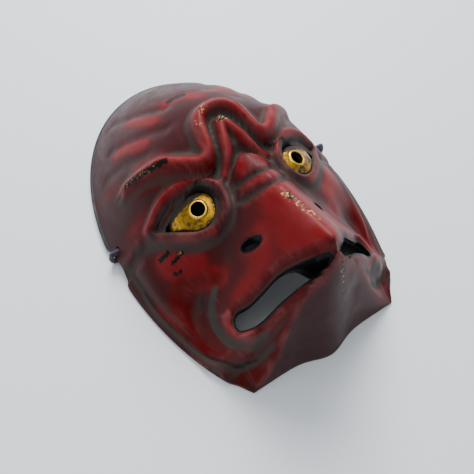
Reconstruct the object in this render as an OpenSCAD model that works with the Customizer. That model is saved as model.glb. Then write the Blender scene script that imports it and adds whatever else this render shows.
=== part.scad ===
// Carved and lacquered noh mask of a beaked mountain goblin, with gilt eyes.
// It lies face up on its rim: +Z leaves the face, +Y runs up to the forehead,
// +X is the viewer's right, and the origin is under the middle of the rim, on the table.

/* [Overall size] */

// Widest half width of the red face, measured at the eyes
half_w = 75; // [60:0.5:90]
// From the centre line of the eyes up to the top of the forehead
top_len = 113; // [90:1:135]
// From the centre line of the eyes down to the straight chin edge
chin_len = 100; // [80:1:120]
// How far the middle of the chin edge stands forward of its corners
chin_bulge = 5.5; // [0:0.5:10]
// Height of the crown between the brows above the rim
crown_h = 75; // [60:1:90]
// Height of the beak's ridge where it leaves the brow
beak_root_h = 80; // [65:1:95]
// Rise of the beak's ridge toward its tip
beak_rise = 13; // [5:0.5:25]

/* [Walls and rim] */

// Thickness of the carved wood at the side of the rim
wall = 6; // [4:0.5:9]
// Height of the black rim band
band_h = 5; // [4.5:0.5:8]
// How far the black rim band stands out from the red face above the ears
band_out = 1.8; // [0.5:0.1:4]
// Width of the rim band below the ears, where it lies hidden inside the lining
band_low_w = 4; // [2:0.5:8]
// Thickness of the cloth and lacquer lining inside
lining_t = 1.2; // [0.8:0.1:2]
// Gap between pieces that lie against each other on curved faces
fit_gap = 0.3; // [0.2:0.05:0.6]

/* [Eyes] */

// Half of the distance between the pupils
eye_x = 30.5; // [26:0.5:36]
// Place of the pupils along the face
eye_y = -18; // [-26:0.5:-10]
// Radius of the round part of an eye plate
eye_r = 8.5; // [6:0.1:11]
// Length of the eye's pointed outer corner, from the pupil
eye_tail = 16.5; // [13:0.5:21]
// Diameter of the pupil bore
pupil_d = 7.6; // [5:0.1:9.5]
// Radius of the ball that the eye plate is beaten over
eye_ball_r = 24; // [20:0.5:34]
// Thickness of the gilt metal
plate_t = 1.2; // [0.8:0.1:2]

/* [Relief] */

// Height of the rolled brow above the forehead
brow_rise = 6.5; // [3:0.5:9]
// Half width of the rolled brow
brow_w = 4.4; // [3:0.2:7]
// Height of the eyelids above the socket
lid_rise = 3.5; // [2:0.5:6]
// Depth of the grooves round the mouth
groove_d = 2.6; // [1:0.2:3.4]

/* [Cord and pads] */

// Diameter of the silk cord
cord_d = 3; // [2:0.2:4]
// Diameter of the ear holes
ear_hole_d = 4.6; // [3.4:0.2:6]
// Place of the ear holes along the face
ear_y = 7; // [0:1:14]
// Height of the ear holes above the table
ear_z = 10.5; // [9:0.5:14]
// Thickness of the wearing pads
pad_t = 9; // [6:0.5:13]

/* [Hidden] */

// Mesh: cells across and along the face, and of the coarser inner walls
cols = 48;
rows = 70;
in_cols = cols / 2;
in_rows = rows / 2;
outline_steps = 100;
chin_steps = 20;
top_turn = 52;

// Lower half of the egg outline, cut off by the chin edge
low_len = chin_len * 1.29;
chin_bulge_w = 13;
crown_y = 13;
crown_low_len = chin_len + 19;
crown_curve_up = 1.45;
crown_curve_low = 1.7;
face_curve = 1.08;
// Height of the wood's edge, on the band above the ears and near the table below them
edge_t = 1;
low_foot = 0.5;
foot_edge = 0.2;
band_step = [11, 14];
foot_step = [-9, -1.5];
full_h = 108;
ear_dip = 1.5;
ear_dip_w = 8;

// The jaw: its edge runs from the middle of the mouth back up to the corners, and its side
// falls away toward the chin
lip_y = 17 - chin_len;
lip_h = 88;
lip_side = 1.53;
lip_round = 3;
lip_sweep = 11.5;
lip_curve = 3.5;
lip_back = 2;
corner_x = 38;
jaw_fall = 2.6;
jaw_fall_less = 0.045;
jaw_reach = 45;
prow_slope = 4;

// The beak: its ridge sinks into the forehead above its root and hooks over at its tip
beak_root_y = -29;
beak_tip_y = lip_y + 5;
beak_side = 1.62;
beak_round = 5;
beak_sink = 0.35;
beak_sink_more = 1.25;
beak_sink_y = -14;
beak_hook = 0.25;

// How softly the forms run into each other
beak_blend = 6;
jaw_blend = 2.5;
prow_blend = 1.6;

// Inner walls
in_k = 1 - wall / half_w;
in_kz = 0.93;
lin_k = in_k - fit_gap / half_w;
lin_k2 = lin_k - lining_t / half_w;
band_k = lin_k2 - fit_gap / half_w;

// Colours
red = "#8c1c1e";
black = "#1b1a1c";
gold = "#b8891f";
putty = "#3a2a22";
purple = "#2b2440";
cloth = "#6b5a45";

// Centre lines of the carved relief, for the right half; the left is its mirror
brow_line = [[0, 20.5], [4, 20], [8.5, 16.5], [11, 10.5], [12.4, 3], [14, -2.8], [17.5, -5],
    [22, -3.6], [28, 2], [35, 9.5], [43, 16], [53, 23]];
wrinkle_line = [[0, 9.5], [2.2, 5], [4.4, -1], [7, -8], [10.5, -13.5]];
lid_shape = [[2.3, 1.53], [1.47, 1.65], [0.29, 1.47], [-0.65, 1], [-1.35, 0.35], [-1.53, -0.47],
    [-1.12, -1.29], [-0.29, -1.59], [0.65, -1.29], [1.47, -0.35], [2.18, 0.82], [2.3, 1.53]];
lid_line = [for (p = lid_shape) [eye_x, eye_y] + eye_r * p];
cheek_line = [[66, -14], [66, -32], [63, -47], [59, -61], [55, -73], [46, -85]];
mouth_groove = [[40, -46], [47, -47.5], [53, -53], [55.5, -62], [54, -72], [49, -81], [42, -88]];
flange_groove = [[65, -59], [61, -71], [55, -82], [47, -87.5], [39, -90.5], [31, -90.5]];
temple_line = [[66, 8], [58, -6], [56, -14]];
furrows = [[[45, 60], [38, 50], [29, 38], [22, 29]], [[34, 85], [27, 70], [20, 56], [14, 46]],
    [[56, 46], [46, 38], [37, 26]]];

// Ridges and grooves: centre line, height and half width
ridges = [
    [brow_line, brow_rise, brow_w],
    [wrinkle_line, 4, 2.6],
    [lid_line, lid_rise, 3],
    [cheek_line, 3.6, 5],
    [temple_line, 2, 5],
    [mouth_groove, -groove_d, 4],
    [flange_groove, -1.5, 2],
    [furrows[0], -1.2, 4],
    [furrows[1], -1.2, 4],
    [furrows[2], -1.2, 4]];
// Hollows of the cheek and beside the beak's root: centre, height and half width
hollows = [[[47, -41], -8, 12], [[14, -20], -3, 5]];
// Distance from the rim over which the relief fades in
fade_rate = 6;
fade_len = 8;

// Openings of the right half, in plan, the mouth's from its own middle
mouth_shape = [[3, 1.6], [8, 4.8], [15, 9.6], [20, 11.6], [27, 12], [33, 12.8], [38, 15], [41, 12.8],
    [41.3, 8], [37, 4], [32, 2.7], [25, 2.4], [17, 1.4], [9, 0], [3, -0.4]];
mouth_edge = [for (p = mouth_shape) [p[0], lip_y + p[1]]];
nostril = [20, -50];
nostril_r = [4.4, 2.5];
nostril_turn = 45;

// Each eye looks out and a little down
eye_out = 22;
eye_down = 12;
eye_proud = 1.1;
tail_r = 1;
tail_turn = 20;
pupil_rim = 1.4;
pupil_lip = 0.7;
bed_t = 2.6;
bed_bore_d = pupil_d + 4;

// Cord: a coil on the table under the forehead, and a lead to it from the knot at each ear hole
cord_r = cord_d / 2;
cord_sides = 8;
tie_t = 0.6;
tie_w = 5;
coil_y = 44;
coil_turns = 4;
coil_in_r = 10.5;
coil_out_r = coil_in_r + coil_turns * cord_d;
knot_r = 3.2;
knot_x = half_w - wall - 9;
knot_z = 6;
notch_w = cord_d + 2;
notch_h = cord_d + 0.6;
loop_low = cord_r + 0.3;
loop_out = half_w + cord_r - 0.2;
lead_line = [[knot_x - 2.5, ear_y + 1.6, 4.5], [knot_x - 5.5, ear_y + 4.5, 2.4],
    [knot_x - 9, ear_y + 8.5, cord_r + 0.1], [46.5, 19, cord_r], [41, 21.3, cord_r], [35, 22.6, cord_r],
    [29, 23.1, cord_r], [23, 23, cord_r], [17, 22.8, cord_r], [12, 22.6, cord_r]];

// Wearing pads: centre and half sizes in plan, and the thickness left at their edges
brow_pad = [0, 0.725 * top_len, 24, 8];
cheek_pad = [0.613 * half_w, -0.4 * chin_len, 7, 14];
pad_edge = 1;
pad_cols = 12;
pad_rows = 10;

// The whole mask is moved so that the origin is under the middle of its rim
seat_y = (chin_len + chin_bulge - top_len * (1 + band_out / half_w)) / 2;
cut_h = 200;

// ---- Shape of the face ----

// Smooth larger and smaller of two heights
function soft_max(a, b, k) = (a + b + sqrt((a - b) * (a - b) + k * k)) / 2;
function soft_min(a, b, k) = (a + b - sqrt((a - b) * (a - b) + k * k)) / 2;
function bell(d, w) = exp(-d * d / (w * w));

// Distance from a point to a stretch, and to a whole line of them
function stretch_d(p, a, b) =
    let (ab = b - a, t = max(0, min(1, ((p - a) * ab) / (ab * ab))))
    norm(p - a - t * ab);
function line_d(p, line) = min([for (i = [0 : len(line) - 2]) stretch_d(p, line[i], line[i + 1])]);

// 0 below a stretch of the face's length and 1 above it, with a smooth ramp between
function ramp(y, from_to) =
    let (t = max(0, min(1, (y - from_to[0]) / (from_to[1] - from_to[0])))) t * t * (3 - 2 * t);
function foot_z(y) = low_foot + (band_h - low_foot) * ramp(y, foot_step);

function half_width(y) = half_w * sqrt(max(0.000001, 1 - pow(y / (y > 0 ? top_len : low_len), 2)));
function chin_edge(x) = -chin_len - chin_bulge * bell(x, chin_bulge_w);

// Height of the midline of the face without its beak, and of the face beside it
function crown(y) =
    let (u = y > crown_y ? (y - crown_y) / (top_len - crown_y) : (crown_y - y) / crown_low_len)
    crown_h * (1 - pow(min(1, u), y > crown_y ? crown_curve_up : crown_curve_low));
function face(x, y) = crown(y) * pow(max(0, 1 - pow(x / half_width(y), 2)), face_curve);

// Fall of a rounded ridge at a distance from its middle
function ridge_fall(x, slope, round_r) = slope * (sqrt(x * x + round_r * round_r) - round_r);

function beak_ridge(y) = y > beak_root_y
    ? beak_root_h - beak_sink * (y - beak_root_y) - beak_sink_more * max(0, y - beak_sink_y)
    : beak_root_h + beak_rise * (beak_root_y - y) / (beak_root_y - beak_tip_y)
        - beak_hook * pow(max(0, beak_tip_y - y), 2);
function beak(x, y) = beak_ridge(y) - ridge_fall(x, beak_side, beak_round);

function lip_line(x) = lip_y + lip_sweep * pow(min(1.3, abs(x) / corner_x), lip_curve);
function jaw(x, y) =
    let (d = lip_line(x) - y, top = lip_h - ridge_fall(x, lip_side, lip_round))
    d > 0 ? top - (jaw_fall - jaw_fall_less * min(jaw_reach, abs(x))) * d : top + lip_back * d;

// The plain carved form, and the relief on it
function form(x, y) =
    soft_min(soft_max(soft_max(face(x, y), beak(x, y), beak_blend), jaw(x, y), jaw_blend),
        prow_slope * (y - chin_edge(x)), prow_blend);
function total(values) = values * [for (v = values) 1];
function relief(x, y) =
    let (p = [abs(x), y])
    total([for (r = ridges) r[1] * bell(line_d(p, r[0]), r[2])])
    + total([for (h = hollows) h[1] * bell(norm(p - h[0]), h[2])]);

// The relief fades out toward the rim, so that the rim stays an even edge
function rim_fade(x, y) =
    min(1, max(0, fade_rate * (1 - pow(x / half_w, 2) - pow(y / (y > 0 ? top_len : low_len), 2))))
    * min(1, max(0, (y - chin_edge(x)) / fade_len));
function lifted(y, h) = let (low = foot_z(y) + edge_t) low + h * (1 - low / full_h);
function face_z(x, y) = lifted(y, max(0, form(x, y) + relief(x, y) * rim_fade(x, y)));

// Underside of the wood, and of what lies against it
function under_z(x, y, k, down) =
    max(foot_z(y) + foot_edge, lifted(y, in_kz * max(0, form(x / k, y / k))) - edge_t - down);
eye_top_z = lifted(eye_y, face(eye_x, eye_y)) + eye_proud;

// ---- Grids over the egg outline ----

low_turn = asin(-chin_len / low_len);
function egg(a) =
    let (y = (sin(a) > 0 ? top_len : low_len) * sin(a))
    [half_w * cos(a) - sign(cos(a)) * ear_dip * bell(y, ear_dip_w), y];
corner_half = half_w * cos(low_turn);
function side_at(v, sign) =
    let (p = egg(low_turn + (top_turn - low_turn) * v)) [sign * p[0], p[1]];
function top_at(u) = egg(180 - top_turn - (180 - 2 * top_turn) * u);
function low_at(u) = let (x = corner_half * (2 * u - 1)) [x, chin_edge(x)];
function place(u, v) =
    (1 - v) * low_at(u) + v * top_at(u) + (1 - u) * side_at(v, -1) + u * side_at(v, 1)
    - (1 - u) * (1 - v) * side_at(0, -1) - u * (1 - v) * side_at(0, 1)
    - (1 - u) * v * side_at(1, -1) - u * v * side_at(1, 1);

// Point numbers round the edge of a grid of n by m cells, anticlockwise from its first corner
function ring(n, m) = concat(
    [for (i = [0 : n - 1]) i],
    [for (j = [0 : m - 1]) n + j * (n + 1)],
    [for (i = [n : -1 : 1]) m * (n + 1) + i],
    [for (j = [m : -1 : 1]) j * (n + 1)]);

// Triangles of a grid of n by m cells, from point number base, seen from above or from below
function sheet_faces(n, m, base, up) = [
    for (j = [0 : m - 1], i = [0 : n - 1], h = [0, 1])
        let (a = base + j * (n + 1) + i, b = a + 1, c = b + n + 1, d = a + n + 1,
            f = h == 0 ? [a, c, b] : [a, d, c])
        up ? f : [f[0], f[2], f[1]]];

// Triangles between two rings of the same length, the first above the second
function band_faces(r1, b1, r2, b2) = [
    for (i = [0 : len(r1) - 1], h = [0, 1])
        let (k = (i + 1) % len(r1))
        h == 0 ? [b1 + r1[i], b1 + r1[k], b2 + r2[i]] : [b1 + r1[k], b2 + r2[k], b2 + r2[i]]];

// Triangles from a fine ring to one with half as many points, on the underside
function half_faces(r1, b1, r2, b2) = [
    for (i = [0 : len(r2) - 1], h = [0, 1, 2])
        let (k = (i + 1) % len(r2), a = b1 + r1[2 * i], m = b1 + r1[2 * i + 1],
            c = b1 + r1[(2 * i + 2) % len(r1)], p = b2 + r2[i], q = b2 + r2[k])
        h == 0 ? [a, m, p] : h == 1 ? [m, q, p] : [m, c, q]];

// Outline scaled by one share above the ears and by another below them
function outline(up, low) =
    let (turn = 180 - 2 * low_turn)
    concat(
        [for (i = [0 : outline_steps]) let (p = egg(low_turn + turn * i / outline_steps))
            (low + (up - low) * ramp(p[1], band_step)) * p],
        [for (i = [1 : chin_steps - 1]) low * low_at(i / chin_steps)]);

// ---- Openings ----

// Plan of an eye: an arc about the pupil and a small one at the outer corner, joined by tangents
function arc(c, r, from, to, n) =
    [for (i = [0 : n]) let (t = from + (to - from) * i / n) c + r * [cos(t), sin(t)]];
function eye_plan(grow) =
    let (a = acos((eye_r - tail_r) / eye_tail), c = [eye_x, eye_y])
    concat(arc(c, eye_r + grow, tail_turn + a, tail_turn + 360 - a, 28),
        arc(c + eye_tail * [cos(tail_turn), sin(tail_turn)], tail_r + grow, tail_turn - a, tail_turn + a, 6));

module mouth_cut(grow) {
    linear_extrude(height = cut_h)
        offset(delta = grow)
            polygon(mouth_edge);
}

module nostril_cut(grow) {
    translate([nostril[0], nostril[1], 0])
        rotate(nostril_turn)
            linear_extrude(height = cut_h)
                scale([nostril_r[0] + grow, nostril_r[1] + grow])
                    circle(r = 1, $fn = 24);
}

module ear_bore() {
    translate([half_w - 25, ear_y, ear_z])
        rotate([0, 90, 0])
            cylinder(h = 50, d = ear_hole_d, $fn = 48);
}

// Way under the rim for the cord, at both ears
module cord_notches() {
    for (side = [-1, 1])
        translate([side * half_w, ear_y, 0])
            cube([6 * wall, notch_w, 2 * notch_h], center = true);
}

// Way for the band at the ears, where it passes from under the wood to inside the lining
module band_ways() {
    for (side = [-1, 1])
        translate([side * half_w, (band_step[0] + band_step[1]) / 2, 0])
            cube([6 * wall, band_step[1] - band_step[0] + 4 * fit_gap, 2 * (band_h + fit_gap)], center = true);
}

module face_openings(grow) {
    for (side = [0, 1])
        mirror([side, 0, 0]) {
            mouth_cut(grow);
            nostril_cut(grow);
            linear_extrude(height = cut_h)
                polygon(eye_plan(grow + fit_gap));
        }
}

// ---- Sub-parts ----

// Moves a piece from the eyes' centre line to its place over the origin
module seated() {
    translate([0, seat_y, 0])
        children();
}

module carved_shell() {
    outer = [for (j = [0 : rows], i = [0 : cols])
        let (p = place(i / cols, j / rows)) [p[0], p[1], face_z(p[0], p[1])]];
    edge = ring(cols, rows);
    foot = [for (e = edge) [outer[e][0], outer[e][1], foot_z(outer[e][1])]];
    inner = [for (j = [0 : in_rows], i = [0 : in_cols])
        let (p = in_k * place(i / in_cols, j / in_rows),
            rim = i == 0 || j == 0 || i == in_cols || j == in_rows)
        [p[0], p[1], rim ? foot_z(p[1]) : under_z(p[0], p[1], in_k, 0)]];
    n1 = len(outer);
    n2 = n1 + len(foot);
    steps = [for (i = [0 : len(foot) - 1]) i];
    color(red)
        seated()
        difference() {
            polyhedron(
                points = concat(outer, foot, inner),
                faces = concat(
                    sheet_faces(cols, rows, 0, true),
                    band_faces(edge, 0, steps, n1),
                    half_faces(steps, n1, ring(in_cols, in_rows), n2),
                    sheet_faces(in_cols, in_rows, n2, false)),
                convexity = 10);
            face_openings(0);
            for (side = [0, 1])
                mirror([side, 0, 0])
                    ear_bore();
        }
}

module rim_band() {
    color(black)
        seated()
        difference() {
            linear_extrude(height = band_h)
                difference() {
                    polygon(outline(1 + band_out / half_w, band_k));
                    polygon(outline(in_k, band_k - band_low_w / half_w));
                }
            cord_notches();
        }
}

// Cloth and lacquer that follow the hollow of the wood
module back_lining() {
    top = [for (j = [0 : in_rows], i = [0 : in_cols])
        let (p = lin_k * place(i / in_cols, j / in_rows),
            rim = i == 0 || j == 0 || i == in_cols || j == in_rows)
        [p[0], p[1], rim ? low_foot : under_z(p[0], p[1], lin_k, fit_gap)]];
    low = [for (j = [0 : in_rows], i = [0 : in_cols])
        let (p = lin_k2 * place(i / in_cols, j / in_rows),
            rim = i == 0 || j == 0 || i == in_cols || j == in_rows)
        [p[0], p[1], rim ? low_foot : under_z(p[0], p[1], lin_k2, fit_gap + lining_t)]];
    edge = ring(in_cols, in_rows);
    color(black)
        seated()
        difference() {
            polyhedron(
                points = concat(top, low),
                faces = concat(
                    sheet_faces(in_cols, in_rows, 0, true),
                    band_faces(edge, 0, edge, len(top)),
                    sheet_faces(in_cols, in_rows, len(top), false)),
                convexity = 10);
            face_openings(fit_gap);
            cord_notches();
            band_ways();
            for (side = [0, 1])
                mirror([side, 0, 0])
                    ear_bore();
        }
}

// The eye's own frame: its origin on the ball under the pupil, +Z along the line of sight
module eye_frame() {
    translate([eye_x, eye_y, eye_top_z])
        rotate([eye_down, eye_out, 0])
            children();
}

// A layer of the ball behind the eye opening, from depth a to depth b
module eye_layer(a, b) {
    intersection() {
        translate([0, 0, eye_top_z - 0.7 * eye_ball_r])
            linear_extrude(height = eye_ball_r)
                polygon(eye_plan(0));
        eye_frame()
            translate([0, 0, -eye_ball_r])
                difference() {
                    sphere(r = eye_ball_r - a, $fn = 96);
                    sphere(r = eye_ball_r - b, $fn = 96);
                }
    }
}

module eye_plate() {
    difference() {
        union() {
            eye_layer(0, plate_t);
            eye_frame()
                translate([0, 0, -plate_t])
                    cylinder(h = plate_t + pupil_lip, d = pupil_d + 2 * pupil_rim, $fn = 64);
        }
        eye_frame()
            cylinder(h = 20, d = pupil_d, center = true, $fn = 64);
    }
}

module eye_bedding() {
    color(putty)
        seated()
        difference() {
            eye_layer(plate_t + fit_gap, plate_t + fit_gap + bed_t);
            eye_frame()
                cylinder(h = 30, d = bed_bore_d, center = true, $fn = 64);
        }
}

module right_eye_plate() {
    color(gold)
        seated()
        eye_plate();
}

module left_eye_plate() {
    color(gold)
        seated()
        mirror([1, 0, 0])
            eye_plate();
}

module right_eye_bedding() {
    eye_bedding();
}

module left_eye_bedding() {
    mirror([1, 0, 0])
        eye_bedding();
}

// ---- Cords ----

// Directions along a route, and the two directions across it that carry its round section
function along(path, i, shut) =
    let (n = len(path), a = shut ? path[(i + n - 1) % n] : path[max(0, i - 1)],
        b = shut ? path[(i + 1) % n] : path[min(n - 1, i + 1)])
    (b - a) / norm(b - a);
function section(path, i, across, r, sides, shut) =
    let (t = along(path, i, shut), u = cross(t, across) / norm(cross(t, across)), w = cross(t, u))
    [for (k = [0 : sides - 1]) let (a = 360 * k / sides) path[i] + r * (cos(a) * u + sin(a) * w)];

// A round cord along a route: one polyhedron with a ring at each point
module cord_tube(path, r, sides, across, shut) {
    n = len(path);
    last = shut ? n - 1 : n - 2;
    polyhedron(
        points = [for (i = [0 : n - 1]) each section(path, i, across, r, sides, shut)],
        faces = concat(
            [for (i = [0 : last], k = [0 : sides - 1], h = [0, 1])
                let (a = i * sides + k, b = i * sides + (k + 1) % sides,
                    c = ((i + 1) % n) * sides + (k + 1) % sides, d = ((i + 1) % n) * sides + k)
                h == 0 ? [a, c, b] : [a, d, c]],
            shut ? [] : [[for (k = [0 : sides - 1]) k], [for (k = [sides - 1 : -1 : 0]) (n - 1) * sides + k]]),
        convexity = 6);
}

// The loop runs out through the ear hole, over the edge, back under the rim and up to its knot
function loop_line() = [
    [knot_x + 1, ear_y, ear_z - 2.5], [knot_x + 3, ear_y, ear_z - 0.6], [knot_x + 6, ear_y, ear_z],
    [half_w - 4, ear_y, ear_z], [half_w, ear_y, ear_z], [loop_out - 0.8, ear_y, ear_z - 1.4],
    [loop_out, ear_y, ear_z - 4], [loop_out - 0.4, ear_y, loop_low + 1.6], [loop_out - 2, ear_y, loop_low],
    [half_w - 3, ear_y, loop_low], [knot_x + 5, ear_y, loop_low], [knot_x + 2.4, ear_y, loop_low + 0.8],
    [knot_x + 1, ear_y, knot_z - 1.5]];

module tie_loop() {
    color(purple)
        seated()
        union() {
            cord_tube(loop_line(), cord_r, cord_sides, [0, 1, 0], true);
            translate([knot_x, ear_y, knot_z])
                sphere(r = knot_r, $fn = 12);
        }
}

module right_tie_loop() {
    tie_loop();
}

module left_tie_loop() {
    mirror([1, 0, 0])
        tie_loop();
}

module cord_lead() {
    color(purple)
        seated()
        cord_tube(lead_line, cord_r, cord_sides, [0, 0, 1], false);
}

module cord_lead_right() {
    cord_lead();
}

module cord_lead_left() {
    mirror([1, 0, 0])
        cord_lead();
}

// Outer shape of the wound turns, side by side in one layer
module cord_coil() {
    color(purple)
        seated()
        translate([0, coil_y, tie_t])
            rotate_extrude($fn = 96)
                translate([coil_in_r, 0])
                    square([coil_out_r - coil_in_r, cord_d]);
}

module coil_tie() {
    color(purple)
        seated()
        translate([-tie_w / 2, coil_y + coil_in_r - 2 * tie_t, 0])
            difference() {
                cube([tie_w, coil_out_r - coil_in_r + 4 * tie_t, cord_d + 2 * tie_t]);
                translate([-1, tie_t, tie_t])
                    cube([tie_w + 2, coil_out_r - coil_in_r + 2 * tie_t, cord_d]);
            }
}

// ---- Pads ----

// A stuffed pad under the lining: its upper side follows the hollow, its lower side is domed
module pad(spec) {
    spots = [for (j = [0 : pad_rows], i = [0 : pad_cols])
        let (u = 2 * i / pad_cols - 1, v = 2 * j / pad_rows - 1)
        [spec[0] + spec[2] * u * sqrt(1 - 0.4 * v * v), spec[1] + spec[3] * v * sqrt(1 - 0.4 * u * u),
            sqrt((1 - pow(u, 4)) * (1 - pow(v, 4)))]];
    top = [for (s = spots) [s[0], s[1], under_z(s[0], s[1], lin_k2, 2 * fit_gap + lining_t)]];
    low = [for (i = [0 : len(spots) - 1]) top[i] - [0, 0, pad_edge + (pad_t - pad_edge) * spots[i][2]]];
    edge = ring(pad_cols, pad_rows);
    color(cloth)
        seated()
        polyhedron(
            points = concat(top, low),
            faces = concat(
                sheet_faces(pad_cols, pad_rows, 0, true),
                band_faces(edge, 0, edge, len(top)),
                sheet_faces(pad_cols, pad_rows, len(top), false)),
            convexity = 4);
}

module forehead_pad() {
    pad(brow_pad);
}

module right_cheek_pad() {
    pad(cheek_pad);
}

module left_cheek_pad() {
    mirror([1, 0, 0])
        pad(cheek_pad);
}

carved_shell();
rim_band();
back_lining();
left_eye_plate();
right_eye_plate();
left_eye_bedding();
right_eye_bedding();
left_tie_loop();
right_tie_loop();
cord_lead_left();
cord_lead_right();
cord_coil();
coil_tie();
forehead_pad();
left_cheek_pad();
right_cheek_pad();
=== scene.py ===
"""A carved and lacquered mask of a beaked mountain goblin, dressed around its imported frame.

The carving is laid out in millimetres on the maker's drawing: its origin is the middle of the
eyes' centre line, X runs to the viewer's right, Y up the face and Z out of it, and the table is
at Z = 0. ``to_frame`` takes a drawing point to metres in the shared frame.
"""

import logging
import math
from dataclasses import dataclass, field
from enum import Enum
from typing import Callable, Optional, Sequence

import bmesh
import bpy
import numpy as np
from mathutils import Matrix, Vector


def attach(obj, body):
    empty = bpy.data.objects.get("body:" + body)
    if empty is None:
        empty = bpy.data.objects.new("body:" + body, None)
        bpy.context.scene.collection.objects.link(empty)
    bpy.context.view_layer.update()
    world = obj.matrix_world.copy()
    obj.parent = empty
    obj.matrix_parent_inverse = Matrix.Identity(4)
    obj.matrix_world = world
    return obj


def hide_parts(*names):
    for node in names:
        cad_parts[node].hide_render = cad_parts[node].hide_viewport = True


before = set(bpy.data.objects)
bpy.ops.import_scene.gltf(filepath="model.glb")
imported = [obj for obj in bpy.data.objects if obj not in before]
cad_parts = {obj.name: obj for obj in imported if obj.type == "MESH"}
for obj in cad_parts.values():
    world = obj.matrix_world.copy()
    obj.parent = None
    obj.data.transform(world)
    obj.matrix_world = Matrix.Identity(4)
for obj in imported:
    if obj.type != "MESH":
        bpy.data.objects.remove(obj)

Array = np.ndarray
Line = Sequence[Sequence[float]]
Colour = tuple[float, float, float]

LOG = logging.getLogger("mask")
MM = 0.001
BODY = "root"
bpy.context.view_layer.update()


class Side(Enum):
    """Which half of the face a stroke is cut or painted on."""

    BOTH = "both"
    LEFT = "left"
    RIGHT = "right"


# ---- Curves ----


def smooth_line(points: Line, steps: int = 5, closed: bool = False) -> Array:
    """Rounds a drawn line into a smooth curve through its points.

    Args:
        points: The drawn points.
        steps: Points of the result for each stretch.
        closed: True if the line runs back to its first point.

    Returns:
        The points of the curve, one row each.
    """
    drawn = np.asarray(points, float)
    if len(drawn) < 3:
        return drawn
    if closed:
        padded = np.vstack([drawn[-1], drawn, drawn[:2]])
    else:
        padded = np.vstack([2 * drawn[0] - drawn[1], drawn, 2 * drawn[-1] - drawn[-2]])
    out = []
    for i in range(len(padded) - 3):
        a, b, c, d = padded[i : i + 4]
        for t in np.arange(steps) / steps:
            out.append(
                0.5 * (2 * b + (c - a) * t + (2 * a - 5 * b + 4 * c - d) * t**2
                       + (3 * b - a - 3 * c + d) * t**3)
            )
    if not closed:
        out.append(drawn[-1])
    return np.array(out)


def line_distance(x: Array, y: Array, line: Array) -> tuple[Array, Array, Array, Array, Array]:
    """Finds how each point lies to a line.

    Args:
        x: Across the face.
        y: Up the face.
        line: The line's points.

    Returns:
        The distance, the side (+1 on the left of the line's run), the share of the line's length
        at the nearest place, and that place's x and y.
    """
    spans = np.hypot(*(line[1:] - line[:-1]).T)
    starts = np.concatenate([[0], np.cumsum(spans)]) / max(spans.sum(), 1e-9)
    best = np.full(x.shape, 1e9)
    side, share = np.ones(x.shape), np.zeros(x.shape)
    near_x, near_y = np.zeros(x.shape), np.zeros(x.shape)
    for i, (a, b) in enumerate(zip(line[:-1], line[1:])):
        run = b - a
        t = np.clip(((x - a[0]) * run[0] + (y - a[1]) * run[1]) / max(run @ run, 1e-12), 0, 1)
        px, py = a[0] + t * run[0], a[1] + t * run[1]
        gap = np.hypot(x - px, y - py)
        closer = gap < best
        best = np.where(closer, gap, best)
        side = np.where(closer, np.sign(run[0] * (y - a[1]) - run[1] * (x - a[0]) + 1e-12), side)
        share = np.where(closer, starts[i] + t * (starts[i + 1] - starts[i]), share)
        near_x, near_y = np.where(closer, px, near_x), np.where(closer, py, near_y)
    return best, side, share, near_x, near_y


def ramp(value: Array, low: float, high: float) -> Array:
    """Runs smoothly from 0 at low to 1 at high."""
    t = np.clip((value - low) / (high - low), 0, 1)
    return t * t * (3 - 2 * t)


def bell(distance: Array, width: float) -> Array:
    """Falls smoothly from 1 at no distance, to about a third at one width."""
    return np.exp(-((distance / width) ** 2))


@dataclass(frozen=True)
class Stroke:
    """One sweep of the gouge or the brush, drawn on the right half of the face.

    Attributes:
        line: Points of its middle.
        height: How far it raises the wood in mm, or how strongly it paints.
        width: Half width on the right of its run.
        far_width: Half width on the left of its run, where that differs.
        power: 2 for a round section, more for a flat one with steep sides.
        side: The half or halves of the face that it is on.
        ends: Shares of its length over which it rises at its start and dies out at its end.
    """

    line: Line
    height: float
    width: float
    far_width: Optional[float] = None
    power: float = 2.0
    side: Side = Side.BOTH
    ends: tuple[float, float] = (0.0, 0.0)

    def at(self, x: Array, y: Array) -> Array:
        """Gives the stroke's height at each point.

        Args:
            x: Across the face.
            y: Up the face.

        Returns:
            The height, 0 away from the stroke.
        """
        if self.side is Side.BOTH:
            x = np.abs(x)
        elif self.side is Side.LEFT:
            x = -x
        if len(self.line) == 1:
            return self.height * bell(np.hypot(x - self.line[0][0], y - self.line[0][1]), self.width)
        gap, side, share, _, _ = line_distance(x, y, smooth_line(self.line))
        width = np.where(side > 0, self.far_width or self.width, self.width)
        value = self.height * np.exp(-((gap / width) ** self.power))
        if self.ends[0]:
            value = value * ramp(share, 0, self.ends[0])
        if self.ends[1]:
            value = value * (1 - ramp(share, 1 - self.ends[1], 1))
        return value


def summed(strokes: Sequence[Stroke], x: Array, y: Array) -> Array:
    """Adds up the heights of several strokes at each point."""
    return sum((s.at(x, y) for s in strokes), np.zeros(x.shape))


def strongest(strokes: Sequence[Stroke], x: Array, y: Array) -> Array:
    """Gives the strongest of several strokes at each point.

    Args:
        strokes: The carved lines to weigh.
        x: Places across, mm.
        y: Places along, mm.

    Returns:
        Strength, 0 up.
    """
    best = np.zeros(x.shape)
    for stroke in strokes:
        best = np.maximum(best, stroke.at(x, y))
    return best


# ---- The maker's drawing: lines on the right half of the face ----

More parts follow.
